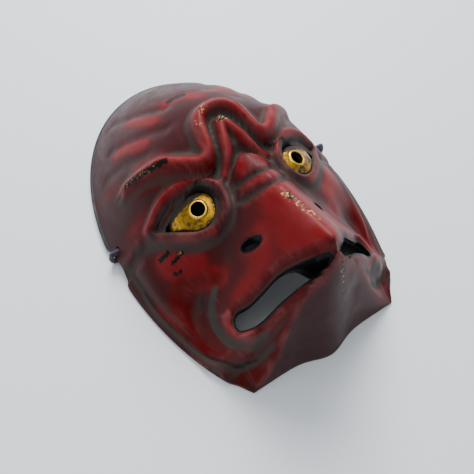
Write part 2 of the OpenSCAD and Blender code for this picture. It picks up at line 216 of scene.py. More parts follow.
BROW = ((0, 20.5), (4, 20), (8.5, 16.5), (11, 10.5), (12.4, 3), (14, -2.8), (17.5, -5), (22, -3.6),
        (28, 2), (35, 9.5), (43, 16), (53, 23))
WRINKLE = ((0, 9.5), (2.2, 5), (4.4, -1), (7, -8), (10.5, -13.5))
LID = ((54, -5), (45, -2), (37, -3), (31, -5.8), (25, -9.8), (19.5, -15), (17.5, -21.5), (20.5, -28.5),
       (27.5, -31.3), (35, -28.8), (42, -23.2), (49, -16), (54, -9), (54, -5))
LID_CREASE = ((51, -7.5), (44, -5.4), (37, -6.2), (31.5, -8), (26, -11.3), (21, -16), (20, -22))
UNDER_EYE = ((63, -5), (56, -11), (49, -19.5), (42, -27.5), (34, -34))
CHEEK_FOLD = ((66, -14), (66, -32), (63, -47), (59, -61), (55, -73), (46, -85))
HOLLOW = ((40, -46), (47, -47.5), (53, -53), (55.5, -62), (54, -72), (49, -81), (42, -88))
MOUTH_GROOVE = ((41, -51), (45, -54), (48, -60), (48.5, -68), (47, -77), (41, -84), (33, -85.5))
FLANGE_GROOVE = ((65, -59), (61, -71), (55, -82), (47, -87.5), (39, -90.5), (31, -90.5))
FURROWS = (((45, 60), (38, 50), (29, 38), (22, 29)), ((34, 85), (27, 70), (20, 56), (14, 46)),
           ((56, 46), (46, 38), (37, 26)))
BRIDGE = (((0, 1), (0.4, -7)), ((0.4, -7), (5.5, -11.5), (10.5, -15.5), (14.5, -18.5)),
          ((0, -28), (4, -26.3), (8, -24), (12, -20.5)), ((0, -38), (5, -35.5), (10, -32.8), (16, -29)))
CHANNEL = ((0, 14.6), (4.5, 13.2), (7.3, 8), (9.3, 1), (10.5, -5), (13.5, -10.5), (17, -12.5))

MOUTH = ((3, -81.4), (8, -78.2), (15, -73.4), (20, -71.4), (27, -71), (33, -70.2), (38, -68), (41, -70.2),
         (41.3, -75), (37, -79), (32, -80.3), (25, -80.6), (17, -81.6), (9, -83), (3, -83.4))

MOUTH_LOW_Y = -82.0
NOSTRIL_R = (4.4, 2.5)
NOSTRIL_TURN = 45

RIDGES = (
    Stroke(BROW, 6.5, 3.3, 4.6, power=2.6),
    Stroke(((28, 8), (38, 20), (49, 30)), 1.6, 4.5, ends=(0.3, 0.3)),
    Stroke(WRINKLE, 4.2, 2.5, power=2.6, ends=(0, 0.25)),
    Stroke(LID, 4.4, 2.7, power=2.5),
    Stroke(LID_CREASE, -1.2, 1.3),
    Stroke(UNDER_EYE, -1.4, 2.6, ends=(0.1, 0.2)),
    Stroke(CHEEK_FOLD, 3.6, 5.0),
    Stroke(((55, -26),), 2.2, 10.0),
    Stroke(HOLLOW, -6.0, 6.5, power=2.0, ends=(0.25, 0.2)),
    Stroke(((43, -66), (44, -75), (38, -82)), 2.0, 3.6),
    Stroke(MOUTH_GROOVE, -1.2, 1.8, ends=(0.15, 0.15)),
    Stroke(FLANGE_GROOVE, -1.8, 2.0),
    Stroke(FURROWS[0], -1.2, 3.6),
    Stroke(FURROWS[1], -1.2, 3.6),
    Stroke(FURROWS[2], -1.0, 3.6),
    Stroke(BRIDGE[0], -1.0, 1.4),
    Stroke(BRIDGE[1], -2.2, 1.5, ends=(0, 0.2)),
    Stroke(BRIDGE[2], -2.4, 1.5, ends=(0, 0.2)),
    Stroke(BRIDGE[3], -2.4, 1.7, ends=(0, 0.3)),
    Stroke(CHANNEL, -2.0, 1.6),
    Stroke(((14, -22),), -2.0, 5.0),
)


@dataclass(frozen=True)
class Carving:
    """Sizes and curves of the carved form, in mm on the drawing, as the frame's source has them."""

    half_w: float = 75.0
    top_len: float = 113.0
    chin_len: float = 100.0
    chin_bulge: float = 5.5
    crown_h: float = 75.0
    beak_root_h: float = 80.0
    beak_rise: float = 13.0
    wall: float = 6.0
    band_h: float = 5.0
    band_out: float = 1.8
    band_low_w: float = 4.0
    lining_t: float = 1.2
    fit_gap: float = 0.3
    low_foot: float = 0.5
    edge_t: float = 1.0
    full_h: float = 108.0
    ear_dip: float = 1.5
    ear_dip_w: float = 8.0
    top_turn: float = 52.0
    in_kz: float = 0.93
    ear_y: float = 7.0
    ear_z: float = 10.5

    @property
    def low_len(self) -> float:
        """Length of the lower half of the egg outline, before the chin edge cuts it."""
        return self.chin_len * 1.29

    @property
    def in_k(self) -> float:
        """Share of the outline that the inside of the wood follows."""
        return 1 - self.wall / self.half_w

    @property
    def lin_k(self) -> float:
        """Share of the outline that the lining's back follows."""
        return self.in_k - self.fit_gap / self.half_w

    @property
    def lin_k2(self) -> float:
        """Share of the outline that the lining's face follows."""
        return self.lin_k - self.lining_t / self.half_w

    @property
    def seat_y(self) -> float:
        """Shift that puts the middle of the rim over the frame's origin."""
        return (self.chin_len + self.chin_bulge - self.top_len * (1 + self.band_out / self.half_w)) / 2

    def to_frame(self, points: Array) -> Array:
        """Takes drawing points in mm to metres in the shared frame."""
        return (np.asarray(points, float) + [0, self.seat_y, 0]) * MM

    def foot_z(self, y: Array) -> Array:
        """Height of the wood's lower edge: on the band above the ears, near the table below."""
        return self.low_foot + (self.band_h - self.low_foot) * ramp(y, -9, -1.5)

    def chin_edge(self, x: Array) -> Array:
        """Place of the chin's edge along the face."""
        return -self.chin_len - self.chin_bulge * bell(x, 13)

    def half_width(self, y: Array) -> Array:
        """Half width of the egg outline."""
        length = np.where(y > 0, self.top_len, self.low_len)
        return self.half_w * np.sqrt(np.maximum(1e-6, 1 - (y / length) ** 2))

    def crown(self, y: Array) -> Array:
        """Height of the midline of the face without its beak.

        Args:
            y: Places along, mm.

        Returns:
            Heights, mm.
        """
        up = y > 13
        u = np.clip(np.where(up, (y - 13) / (self.top_len - 13), (13 - y) / (self.chin_len + 19)), 0, 1)
        return self.crown_h * (1 - np.where(up, u**1.45, u**1.7))

    def beak(self, x: Array, y: Array) -> Array:
        """Height of the beak's ridge and sides.

        Args:
            x: Places across, mm.
            y: Places along, mm.

        Returns:
            Heights, mm.
        """
        sunk = self.beak_root_h - 0.35 * (y + 29) - 1.25 * np.maximum(0, y + 14)
        risen = self.beak_root_h + self.beak_rise * (-29 - y) / 49 - 0.25 * np.maximum(0, -78 - y) ** 2
        return np.where(y > -29, sunk, risen) - 1.62 * (np.sqrt(x * x + 25) - 5)

    def jaw(self, x: Array, y: Array) -> Array:
        """Height of the jaw below the mouth.

        Args:
            x: Places across, mm.
            y: Places along, mm.

        Returns:
            Heights, mm.
        """
        d = -83 + 11.5 * np.minimum(1.3, np.abs(x) / 38) ** 3.5 - y
        top = 88 - 1.53 * (np.sqrt(x * x + 9) - 3)
        return np.where(d > 0, top - (2.6 - 0.045 * np.minimum(45, np.abs(x))) * d, top + 2 * d)

    def form(self, x: Array, y: Array) -> Array:
        """Height of the plain carved form.

        Args:
            x: Places across, mm.
            y: Places along, mm.

        Returns:
            Heights, mm.
        """

        def merged(a: Array, b: Array, blend: float, sign: int) -> Array:
            """Joins two heights softly, keeping the larger for sign +1 and the smaller for -1."""
            return (a + b + sign * np.sqrt((a - b) ** 2 + blend**2)) / 2

        face = self.crown(y) * np.maximum(0, 1 - (x / self.half_width(y)) ** 2) ** 1.08
        whole = merged(merged(face, self.beak(x, y), 6, 1), self.jaw(x, y), 2.5, 1)
        return merged(whole, 4 * (y - self.chin_edge(x)), 1.6, -1)

    def rim_fade(self, x: Array, y: Array) -> Array:
        """0 at the rim and 1 a little inside it, where the relief has its full height.

        Args:
            x: Places across, mm.
            y: Places along, mm.

        Returns:
            Shares, 0 to 1.
        """
        length = np.where(y > 0, self.top_len, self.low_len)
        egg = np.clip(6 * (1 - (x / self.half_w) ** 2 - (y / length) ** 2), 0, 1)
        return egg * np.clip((y - self.chin_edge(x)) / 8, 0, 1)

    def lifted(self, y: Array, height: Array) -> Array:
        """Stands a height of the form on the wood's lower edge."""
        low = self.foot_z(y) + self.edge_t
        return low + height * (1 - low / self.full_h)

    def under_z(self, x: Array, y: Array, k: float, down: float) -> Array:
        """Height of the inside of the wood, or of what lies under it.

        Args:
            x: Across the face.
            y: Up the face.
            k: Share of the outline that the surface follows.
            down: How far it lies below the inside of the wood.

        Returns:
            The height above the table.
        """
        inside = self.lifted(y, self.in_kz * np.maximum(0, self.form(x / k, y / k)))
        return np.maximum(self.foot_z(y) + 0.2, inside - self.edge_t - down)

    def egg(self, turn: Array) -> Array:
        """Points of the egg outline at angles in degrees, with the dip at the ears.

        Args:
            turn: Angles in degrees.

        Returns:
            Points, mm.
        """
        a = np.radians(turn)
        y = np.where(np.sin(a) > 0, self.top_len, self.low_len) * np.sin(a)
        x = self.half_w * np.cos(a) - np.sign(np.cos(a)) * self.ear_dip * bell(y, self.ear_dip_w)
        return np.stack([x, y], -1)

    def place(self, u: Array, v: Array) -> Array:
        """Spreads a square over the outline.

        Args:
            u: 0 to 1 across the face.
            v: 0 to 1 from the chin edge to the top.

        Returns:
            Plan points, one row each.
        """
        low_turn = math.degrees(math.asin(-self.chin_len / self.low_len))
        corner = self.half_w * math.cos(math.radians(low_turn))
        right = self.egg(low_turn + (self.top_turn - low_turn) * v)
        left = right * [-1, 1]
        top = self.egg(180 - self.top_turn - (180 - 2 * self.top_turn) * u)
        low = np.stack([corner * (2 * u - 1), self.chin_edge(corner * (2 * u - 1))], -1)
        low_left, low_right = left[np.argmin(v)] * 0 + self.egg(low_turn) * [-1, 1], self.egg(low_turn)
        top_left, top_right = self.egg(self.top_turn) * [-1, 1], self.egg(self.top_turn)
        u, v = u[..., None], v[..., None]
        return (
            (1 - v) * low + v * top + (1 - u) * left + u * right
            - (1 - u) * (1 - v) * low_left - u * (1 - v) * low_right
            - (1 - u) * v * top_left - u * v * top_right
        )


CARVING = Carving()


# ---- Finishes ----


class Tree:
    """Wires the nodes of one finish."""

    def __init__(self, name: str) -> None:
        """Starts a material with an empty node tree.

        Args:
            name: The finish's name.
        """
        self.material = bpy.data.materials.new(name)
        self.material.use_nodes = True
        self.nodes = self.material.node_tree.nodes
        self.links = self.material.node_tree.links
        self.nodes.clear()
        self.out = self.nodes.new("ShaderNodeOutputMaterial")
        self.coords = self.nodes.new("ShaderNodeTexCoord")

    def put(self, socket: bpy.types.NodeSocket, value: object) -> None:
        """Links a socket to another socket, or sets its own value."""
        if isinstance(value, bpy.types.NodeSocket):
            self.links.new(value, socket)
        elif value is not None:
            plain = len(np.shape(value)) and len(value) == 3 and socket.type == "RGBA"
            socket.default_value = (*value, 1.0) if plain else value

    def vector(self, scale: Sequence[float] = (1, 1, 1), turn: Sequence[float] = (0, 0, 0),
               uv: bool = False) -> bpy.types.NodeSocket:
        """Gives the piece's own coordinates, turned and stretched.

        Args:
            scale: Stretch along each axis.
            turn: Turn about each axis in degrees.
            uv: True for the piece's UV map, False for its object coordinates.

        Returns:
            The coordinates' socket.
        """
        node = self.nodes.new("ShaderNodeMapping")
        self.links.new(self.coords.outputs["UV" if uv else "Object"], node.inputs["Vector"])
        node.inputs["Scale"].default_value = scale
        node.inputs["Rotation"].default_value = [math.radians(a) for a in turn]
        return node.outputs["Vector"]

    def noise(self, scale: float, detail: float = 4, rough: float = 0.55, vector: object = None,
              warp: float = 0.0) -> bpy.types.NodeSocket:
        """Gives cloudy noise, 0 to 1.

        Args:
            scale: Clouds in a metre.
            detail: Octaves.
            rough: Share of each finer octave.
            vector: Coordinates, or None for the object's.
            warp: How far the clouds are pulled about.

        Returns:
            The noise's socket.
        """
        node = self.nodes.new("ShaderNodeTexNoise")
        self.put(node.inputs["Vector"], vector if vector is not None else self.coords.outputs["Object"])
        for key, value in (("Scale", scale), ("Detail", detail), ("Roughness", rough), ("Distortion", warp)):
            node.inputs[key].default_value = value
        return node.outputs["Fac"]

    def cells(self, scale: float, vector: object = None, randomness: float = 1.0) -> bpy.types.NodeSocket:
        """Gives the distance to the nearest of scattered points.

        Args:
            scale: Size of the pattern.
            vector: Where it is read, or the object's own coordinates.
            randomness: How far points stray from a grid.

        Returns:
            The distance socket.
        """
        node = self.nodes.new("ShaderNodeTexVoronoi")
        self.put(node.inputs["Vector"], vector if vector is not None else self.coords.outputs["Object"])
        node.inputs["Scale"].default_value = scale
        node.inputs["Randomness"].default_value = randomness
        return node.outputs["Distance"]

    def wave(self, scale: float, vector: object,
             warp: float = 0.0, profile: str = "SIN") -> bpy.types.NodeSocket:
        """Gives parallel bands, 0 to 1.

        Args:
            scale: Size of the pattern.
            vector: Where it is read, or the object's own coordinates.
            warp: How far it is bent.
            profile: Its wave form.

        Returns:
            The value socket.
        """
        node = self.nodes.new("ShaderNodeTexWave")
        node.wave_profile = profile
        self.put(node.inputs["Vector"], vector)
        node.inputs["Scale"].default_value = scale
        node.inputs["Distortion"].default_value = warp
        return node.outputs["Fac"]

    def sum(self, operation: str, a: object, b: object = None, clamp: bool = False) -> bpy.types.NodeSocket:
        """Works out one step of arithmetic on numbers or sockets.

        Args:
            operation: The arithmetic.
            a: First value.
            b: Second value.
            clamp: Whether it is kept to 0 to 1.

        Returns:
            The result socket.
        """
        node = self.nodes.new("ShaderNodeMath")
        node.operation, node.use_clamp = operation, clamp
        self.put(node.inputs[0], a)
        self.put(node.inputs[1], b)
        return node.outputs["Value"]

    def step(self, value: object, low: float, high: float, to_low: float = 0.0,
             to_high: float = 1.0) -> bpy.types.NodeSocket:
        """Runs smoothly between two results as a value passes from low to high.

        Args:
            value: What is read.
            low: Where the run starts.
            high: Where it ends.
            to_low: Result at the start.
            to_high: Result at the end.

        Returns:
            The result socket.
        """
        node = self.nodes.new("ShaderNodeMapRange")
        node.interpolation_type = "SMOOTHSTEP"
        self.put(node.inputs["Value"], value)
        for key, number in (("From Min", low), ("From Max", high), ("To Min", to_low), ("To Max", to_high)):
            node.inputs[key].default_value = number
        return node.outputs["Result"]

    def mix(self, share: object, a: object, b: object) -> bpy.types.NodeSocket:
        """Blends colour a into colour b.

        Args:
            share: How much of the second is taken.
            a: First value.
            b: Second value.

        Returns:
            The colour socket.
        """
        node = self.nodes.new("ShaderNodeMix")
        node.data_type = "RGBA"
        self.put(node.inputs["Factor"], share)
        self.put(node.inputs["A"] if node.inputs["A"].type == "RGBA" else node.inputs[6], a)
        self.put(node.inputs[7], b)
        return node.outputs[2]

    def painted(self, name: str) -> Sequence[bpy.types.NodeSocket]:
        """Gives the three channels that a piece's vertices carry under a name.

        Args:
            name: The name the vertices carry it under.

        Returns:
            The three sockets.
        """
        node = self.nodes.new("ShaderNodeAttribute")
        node.attribute_name = name
        split = self.nodes.new("ShaderNodeSeparateColor")
        self.links.new(node.outputs["Color"], split.inputs["Color"])
        return split.outputs[:3]

    def bump(self, height: object, distance: float, strength: float = 1.0,
             under: object = None) -> bpy.types.NodeSocket:
        """Turns a height of 0 to 1 into a surface texture of that depth in metres.

        Args:
            height: Relief, 0 to 1.
            distance: Depth in metres.
            strength: How strongly it shows.
            under: Texture it lies on.

        Returns:
            The normal socket.
        """
        node = self.nodes.new("ShaderNodeBump")
        node.inputs["Strength"].default_value = strength
        node.inputs["Distance"].default_value = distance
        self.put(node.inputs["Height"], height)
        if under is not None:
            self.put(node.inputs["Normal"], under)
        return node.outputs["Normal"]

    def shade(self, colour: object, rough: object,
              normal: object = None, **constants: float) -> bpy.types.Material:
        """Closes the tree with its shader.

        Args:
            colour: Base colour.
            rough: Roughness.
            normal: Bumped normal, if any.
            constants: Further sockets of the shader, with underscores for spaces.

        Returns:
            The finished material.
        """
        shader = self.nodes.new("ShaderNodeBsdfPrincipled")
        self.put(shader.inputs["Base Color"], colour)
        self.put(shader.inputs["Roughness"], rough)
        if normal is not None:
            self.put(shader.inputs["Normal"], normal)
        for key, value in constants.items():
            self.put(shader.inputs[key.replace("_", " ")], value)
        self.links.new(shader.outputs["BSDF"], self.out.inputs["Surface"])
        return self.material


@dataclass(frozen=True)
class LacquerFinish:
    """Worn red lacquer brushed over brown, with dust in the hollows, chips, and a black inside; painted shade
    darkens the hollows, creases and undersides, and a painted highlight lightens the crests.
    """

    bright: Colour = (0.130, 0.0042, 0.0052)
    # deep crimson: painted shade in the hollows and under the brows and beak, and the jaw facets' own crimson
    deep: Colour = (0.065, 0.0003, 0.0005)
    wash: Colour = (0.034, 0.0072, 0.0078)
    plum: Colour = (0.056, 0.0042, 0.0050)
    dust: Colour = (0.040, 0.035, 0.030)
    # pinkish: a painted highlight along the crests
    crest_highlight: Colour = (0.17, 0.045, 0.045)
    chip: Colour = (0.0045, 0.004, 0.0035)
    fleck: Colour = (0.42, 0.25, 0.09)
    black: Colour = (0.0035, 0.0030, 0.0030)

    def make(self) -> bpy.types.Material:
        """Wires the finish.

        Returns:
            The material.
        """
        t = Tree("red_lacquer")
        red, dust, crest_highlight = t.painted("paint")
        # the third channel: black lacquer round the openings, with black painted shade in the creases
        chip, gold, edge = t.painted("wear_and_shade")
        # the cover channels: the black inside, painted shade in the hollows (not read here), and deep crimson
        # painted shade
        back, hollow_shade, dark = t.painted("cover")
        cloud = t.noise(38, 5, 0.6, warp=0.3)
        brush = t.noise(120, 5, 0.65, t.vector((1.0, 0.35, 0.6), (0, 0, 25)))
        fine = t.noise(900, 3, 0.6)
        broken = t.sum("ADD", t.sum("MULTIPLY", cloud, 0.55), t.sum("MULTIPLY", brush, 0.45))
        shifted = t.sum("ADD", red, t.sum("SUBTRACT", broken, 0.5))
        body = t.mix(t.step(shifted, 0.02, 0.42), self.wash, self.plum)
        body = t.mix(t.step(shifted, 0.36, 0.78), body, self.bright)
        # deep crimson painted shade in the hollows and under the brows and beak, and the jaw facets' own crimson
        body = t.mix(t.sum("MULTIPLY", t.step(dark, 0.0, 1.0), 0.95), body, self.deep)
        caught = t.step(t.sum("ADD", brush, t.sum("MULTIPLY", dust, 0.5)), 0.45, 0.8)
        dusty = t.sum("MULTIPLY", dust, caught, clamp=True)
        body = t.mix(dusty, body, self.dust)
        # painted highlight along the crests, broken by the brush strokes
        body = t.mix(t.sum("MULTIPLY", crest_highlight, t.step(brush, 0.35, 0.75)), body, self.crest_highlight)
        rubbed = t.sum("SUBTRACT", fine, t.sum("MULTIPLY", cloud, 0.25))
        body = t.mix(t.step(rubbed, 0.5, 0.62, 0.0, 0.12), body, self.wash)
        speck = t.cells(420)
        ragged = t.sum("ADD", chip, t.sum("MULTIPLY", t.sum("SUBTRACT", t.noise(420, 4, 0.7), 0.5), 1.3))
        chipped = t.step(ragged, 0.5, 0.56)
        body = t.mix(chipped, body, self.chip)
        sown = t.sum("MULTIPLY", t.step(gold, 0.25, 0.75), t.step(t.noise(700, 3, 0.6), 0.56, 0.6))
        body = t.mix(sown, body, self.fleck)
        # black lacquer round the openings, with black painted shade in the creases
        soft_edge_and_shade = t.sum("ADD", edge, t.sum("MULTIPLY", t.sum("SUBTRACT", brush, 0.5), 0.4))
        body = t.mix(t.step(soft_edge_and_shade, 0.35, 0.65), body, self.black)
        body = t.mix(back, body, self.black)
        rough = t.sum("ADD", t.step(brush, 0.25, 0.8, 0.36, 0.52), t.sum("MULTIPLY", dusty, 0.18), clamp=True)
        normal = t.bump(brush, 0.00022, 0.5)
        normal = t.bump(fine, 0.00006, 0.5, normal)
        normal = t.bump(t.sum("SUBTRACT", 1.0, chipped), 0.0003, 0.8, normal)
        return t.shade(body, rough, normal, Specular_IOR_Level=0.09)


@dataclass(frozen=True)
class BlackFinish:
    """Black lacquer of the rim band, rubbed a little on its outer edge."""

    name: str = "black_lacquer"
    black: Colour = (0.012, 0.012, 0.013)
    rubbed: Colour = (0.075, 0.08, 0.082)
    rough: tuple[float, float] = (0.3, 0.5)
    grain: float = 0.00012

    def make(self) -> bpy.types.Material:
        """Wires the finish.

        Returns:
            The material.
        """
        t = Tree(self.name)
        cloud = t.noise(60, 5, 0.6)
        fine = t.noise(700, 3, 0.6)
        colour = t.mix(t.step(cloud, 0.45, 0.75, 0.0, 0.6), self.black, self.rubbed)
        rough = t.step(fine, 0.3, 0.7, *self.rough)
        return t.shade(colour, rough, t.bump(t.sum("ADD", cloud, fine), self.grain, 0.6),
                       Specular_IOR_Level=0.45)


@dataclass(frozen=True)
class LiningFinish:
    """Black lacquer over hemp cloth: the weave shows faintly through it."""

    black: Colour = (0.014, 0.0125, 0.012)
    brown: Colour = (0.04, 0.026, 0.019)

    def make(self) -> bpy.types.Material:
        """Wires the finish.

        Returns:
            The material.
        """
        t = Tree("black_lining")
        cloud = t.noise(45, 5, 0.6)
        warp = t.wave(220, t.vector((1, 0, 0)), 0.6)
        weft = t.wave(220, t.vector((0, 1, 0), (0, 0, 90)), 0.6)
        weave = t.sum("MAXIMUM", warp, weft)
        colour = t.mix(t.step(cloud, 0.5, 0.8, 0.0, 0.8), self.black, self.brown)
        normal = t.bump(weave, 0.00012, 0.5, t.bump(cloud, 0.0006, 0.4))
        return t.shade(colour, t.step(cloud, 0.3, 0.7, 0.42, 0.6), normal, Specular_IOR_Level=0.4)


@dataclass(frozen=True)
class GiltFinish:
    """Gold leaf on beaten metal, uneven, brown where rubbed through or toned, with brown painted shade under the
    lids.
    """

    leaf: Colour = (0.50, 0.27, 0.014)
    pale: Colour = (0.78, 0.50, 0.07)
    deep: Colour = (0.20, 0.085, 0.005)
    brown: Colour = (0.022, 0.010, 0.004)
    black: Colour = (0.008, 0.007, 0.006)

    def make(self) -> bpy.types.Material:
        """Wires the finish.

        Returns:
            The material.
        """
        t = Tree("gilt")
        # low: painted shade under the lids
        ring, low, inside = t.painted("paint")
        cloud = t.noise(230, 5, 0.62, warp=0.4)
        fine = t.noise(900, 4, 0.65)
        crinkle = t.cells(520)
        colour = t.mix(t.step(cloud, 0.35, 0.7), self.leaf, self.deep)
        colour = t.mix(t.step(t.sum("ADD", fine, ring), 0.6, 1.1), colour, self.pale)
        # brown where the leaf is rubbed through, and brown painted shade where low is set
        rubbed_and_shaded = t.step(t.sum("ADD", t.sum("SUBTRACT", cloud, ring), low), 0.64, 0.86)
        colour = t.mix(rubbed_and_shaded, colour, self.brown)
        colour = t.mix(inside, colour, self.black)
        rough = t.sum("ADD", t.step(fine, 0.3, 0.7, 0.22, 0.42), t.sum("MULTIPLY", rubbed_and_shaded, 0.25))
        metal = t.sum("SUBTRACT", 0.92, t.sum("MAXIMUM", t.sum("MULTIPLY", rubbed_and_shaded, 0.6), inside), clamp=True)
        normal = t.bump(cloud, 0.0005, 0.55, t.bump(crinkle, 0.00012, 0.5))
        return t.shade(colour, rough, normal, Metallic=metal)


@dataclass(frozen=True)
class PuttyFinish:
    """Dark lacquer putty that beds the eye plates."""

    dark: Colour = (0.03, 0.02, 0.014)
    light: Colour = (0.09, 0.058, 0.038)

    def make(self) -> bpy.types.Material:
        """Wires the finish.

        Returns:
            The material.
        """
        t = Tree("putty")
        cloud = t.noise(260, 5, 0.65)
        return t.shade(t.mix(cloud, self.dark, self.light),
                       t.step(cloud, 0.2, 0.8, 0.6, 0.85), t.bump(cloud, 0.0004, 0.7))


@dataclass(frozen=True)
class SilkFinish:
    """Braided silk: strands cross along the cord's own UV map."""

    name: str = "silk_cord"
    dark: Colour = (0.003, 0.002, 0.014)
    light: Colour = (0.014, 0.009, 0.055)
    pitch: float = 4.0

    def make(self) -> bpy.types.Material:
        """Wires the finish.

        Returns:
            The material.
        """
        t = Tree(self.name)
        one = t.wave(self.pitch, t.vector((1, 1, 0), uv=True))
        two = t.wave(self.pitch, t.vector((1, -1, 0), uv=True))
        braid = t.sum("MULTIPLY", one, two)
        hair = t.noise(2600, 3, 0.6)
        colour = t.mix(t.sum("MULTIPLY", t.step(braid, 0.0, 0.6), t.step(hair, 0.2, 0.8, 0.5, 1.0)),
                       self.dark, self.light)
        normal = t.bump(hair, 0.00004, 0.5, t.bump(braid, 0.0003, 0.8))
        return t.shade(colour, 0.62, normal, Sheen_Weight=0.35, Sheen_Roughness=0.4)


@dataclass(frozen=True)
class ClothFinish:
    """Plain woven cotton of the wearing pads."""

    thread: Colour = (0.24, 0.19, 0.13)
    gap: Colour = (0.1, 0.075, 0.05)

    def make(self) -> bpy.types.Material:
        """Wires the finish.

        Returns:
            The material.
        """
        t = Tree("pad_cloth")
        weave = t.sum("MAXIMUM", t.wave(330, t.vector((1, 0, 0)), 0.3),
                      t.wave(330, t.vector((0, 1, 0), (0, 0, 90)), 0.3))
        cloud = t.noise(90, 4, 0.6)
        colour = t.mix(t.sum("MULTIPLY", weave, t.step(cloud, 0.2, 0.8, 0.6, 1.0)), self.gap, self.thread)
        return t.shade(colour, t.step(cloud, 0.3, 0.7, 0.8, 0.95),
                       t.bump(weave, 0.00015, 0.7), Sheen_Weight=0.2)


@dataclass(frozen=True)
class TableFinish:
    """Plain pale matt surface."""

    pale: Colour = (0.62, 0.645, 0.67)
    shade_to: Colour = (0.59, 0.615, 0.64)

    def make(self) -> bpy.types.Material:
        """Wires the finish.

        Returns:
            The material.
        """
        t = Tree("table")
        cloud = t.noise(3, 3, 0.5)
        return t.shade(t.mix(cloud, self.pale, self.shade_to), 0.55,
                       t.bump(t.noise(900, 2, 0.5), 0.00004, 0.3), Specular_IOR_Level=0.3)


# ---- Making pieces ----


def mapped_grid(cols: int, rows: int, shape: Callable[[Array, Array], Array], around: bool = False,
                along: bool = False) -> bmesh.types.BMesh:
    """Bends a grid into a surface.

    Args:
        cols: Cells across.
        rows: Cells up.
        shape: Takes arrays u and v, each 0 to 1, to frame points in metres.
        around: True if u = 1 is the same place as u = 0.
        along: True if v = 1 is the same place as v = 0.

    Returns:
        The mesh, with its seams merged.
    """
    bm = bmesh.new()
    bm.loops.layers.uv.new("UVMap")
    bmesh.ops.create_grid(bm, x_segments=cols, y_segments=rows, size=1, calc_uvs=True)
    flat = np.array([v.co[:] for v in bm.verts])
    u, v = (flat[:, 0] + 1) / 2, (flat[:, 1] + 1) / 2
    if around:
        u = np.where(u > 1 - 1e-6, 0, u)
    if along:
        v = np.where(v > 1 - 1e-6, 0, v)
    for vert, point in zip(bm.verts, shape(u, v)):
        vert.co = point
    if around or along:
        bmesh.ops.remove_doubles(bm, verts=bm.verts, dist=1e-7)
    return bm


def sweep(path: Array, radius: float, sides: int = 12, closed: bool = False,
          across: Sequence[float] = (0, 0, 1)) -> bmesh.types.BMesh:
    """Draws a round cord along a route.

    Args:
        path: The route's points in metres.
        radius: The cord's radius.
        sides: Faces round it.
        closed: True if the route runs back to its first point.
        across: A direction that the route never follows.

    Returns:
        The cord's mesh, with a UV map that runs along it.
    """
    path = np.asarray(path, float)
    count = len(path)
    if closed:
        run = np.roll(path, -1, 0) - np.roll(path, 1, 0)
    else:
        run = np.gradient(path, axis=0)
    run /= np.linalg.norm(run, axis=1)[:, None]
    out = np.cross(run, across)
    out /= np.linalg.norm(out, axis=1)[:, None]
    up = np.cross(out, run)
    segments = count if closed else count - 1

    def shape(u: Array, v: Array) -> Array:
        """Puts each grid point on the cord.

        Args:
            u: Places round or along, 0 to 1.
            v: Places across, 0 to 1.

        Returns:
            Points in metres.
        """
        i = np.rint(u * segments).astype(int) % count
        a = 2 * math.pi * v[:, None]
        return path[i] + radius * (np.cos(a) * out[i] + np.sin(a) * up[i])

    bm = mapped_grid(segments, sides, shape, around=closed, along=True)
    if not closed:
        bmesh.ops.holes_fill(bm, edges=[e for e in bm.edges if e.is_boundary], sides=sides)
    length = np.linalg.norm(np.diff(path, axis=0), axis=1).sum()
    layer = bm.loops.layers.uv.active
    for face in bm.faces:
        for loop in face.loops:
            loop[layer].uv.x *= length / (2 * math.pi * radius)
    return bm


def finished(name: str, bm: bmesh.types.BMesh, material: bpy.types.Material, sharp: float = 50.0,
             turn_out: bool = True) -> bpy.types.Object:
    """Makes a mesh the piece of that name.

    Args:
        name: The piece's name.
        bm: Its mesh in frame metres, which is freed.
        material: Its finish.
        sharp: Edges that turn by more degrees than this stay crisp.
        turn_out: True to have its faces turned outwards.

    Returns:
        The piece's object.
    """
    if turn_out:
        bmesh.ops.recalc_face_normals(bm, faces=bm.faces)
    if bm.calc_volume(signed=True) < 0:
        bmesh.ops.reverse_faces(bm, faces=bm.faces)
    for face in bm.faces:
        face.smooth = True
    limit = math.radians(sharp)
    for edge in bm.edges:
        edge.smooth = not (len(edge.link_faces) == 2 and edge.calc_face_angle(0) > limit)
    mesh = bpy.data.meshes.new(name)
    bm.to_mesh(mesh)
    bm.free()
    mesh.materials.append(material)
    obj = bpy.data.objects.new(name, mesh)
    bpy.context.scene.collection.objects.link(obj)
    LOG.info("%s: %d faces", name, len(mesh.polygons))
    return obj


def seated_piece(obj: bpy.types.Object, slot: str, *nodes: str) -> bpy.types.Object:
    """Rides a piece on the mask's body, in place of its nodes.

    Args:
        obj: The piece.
        slot: Its finish slot; not used.
        nodes: The nodes it stands in for.

    Returns:
        The same piece.
    """
    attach(obj, BODY)
    if nodes:
        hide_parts(*nodes)
    return obj


# ---- Openings in the face ----


def arc(centre: Sequence[float], radius: float, start: float, end: float, steps: int) -> Array:
    """Gives points of an arc between two angles in degrees."""
    a = np.radians(np.linspace(start, end, steps + 1))
    return np.stack([centre[0] + radius * np.cos(a), centre[1] + radius * np.sin(a)], -1)


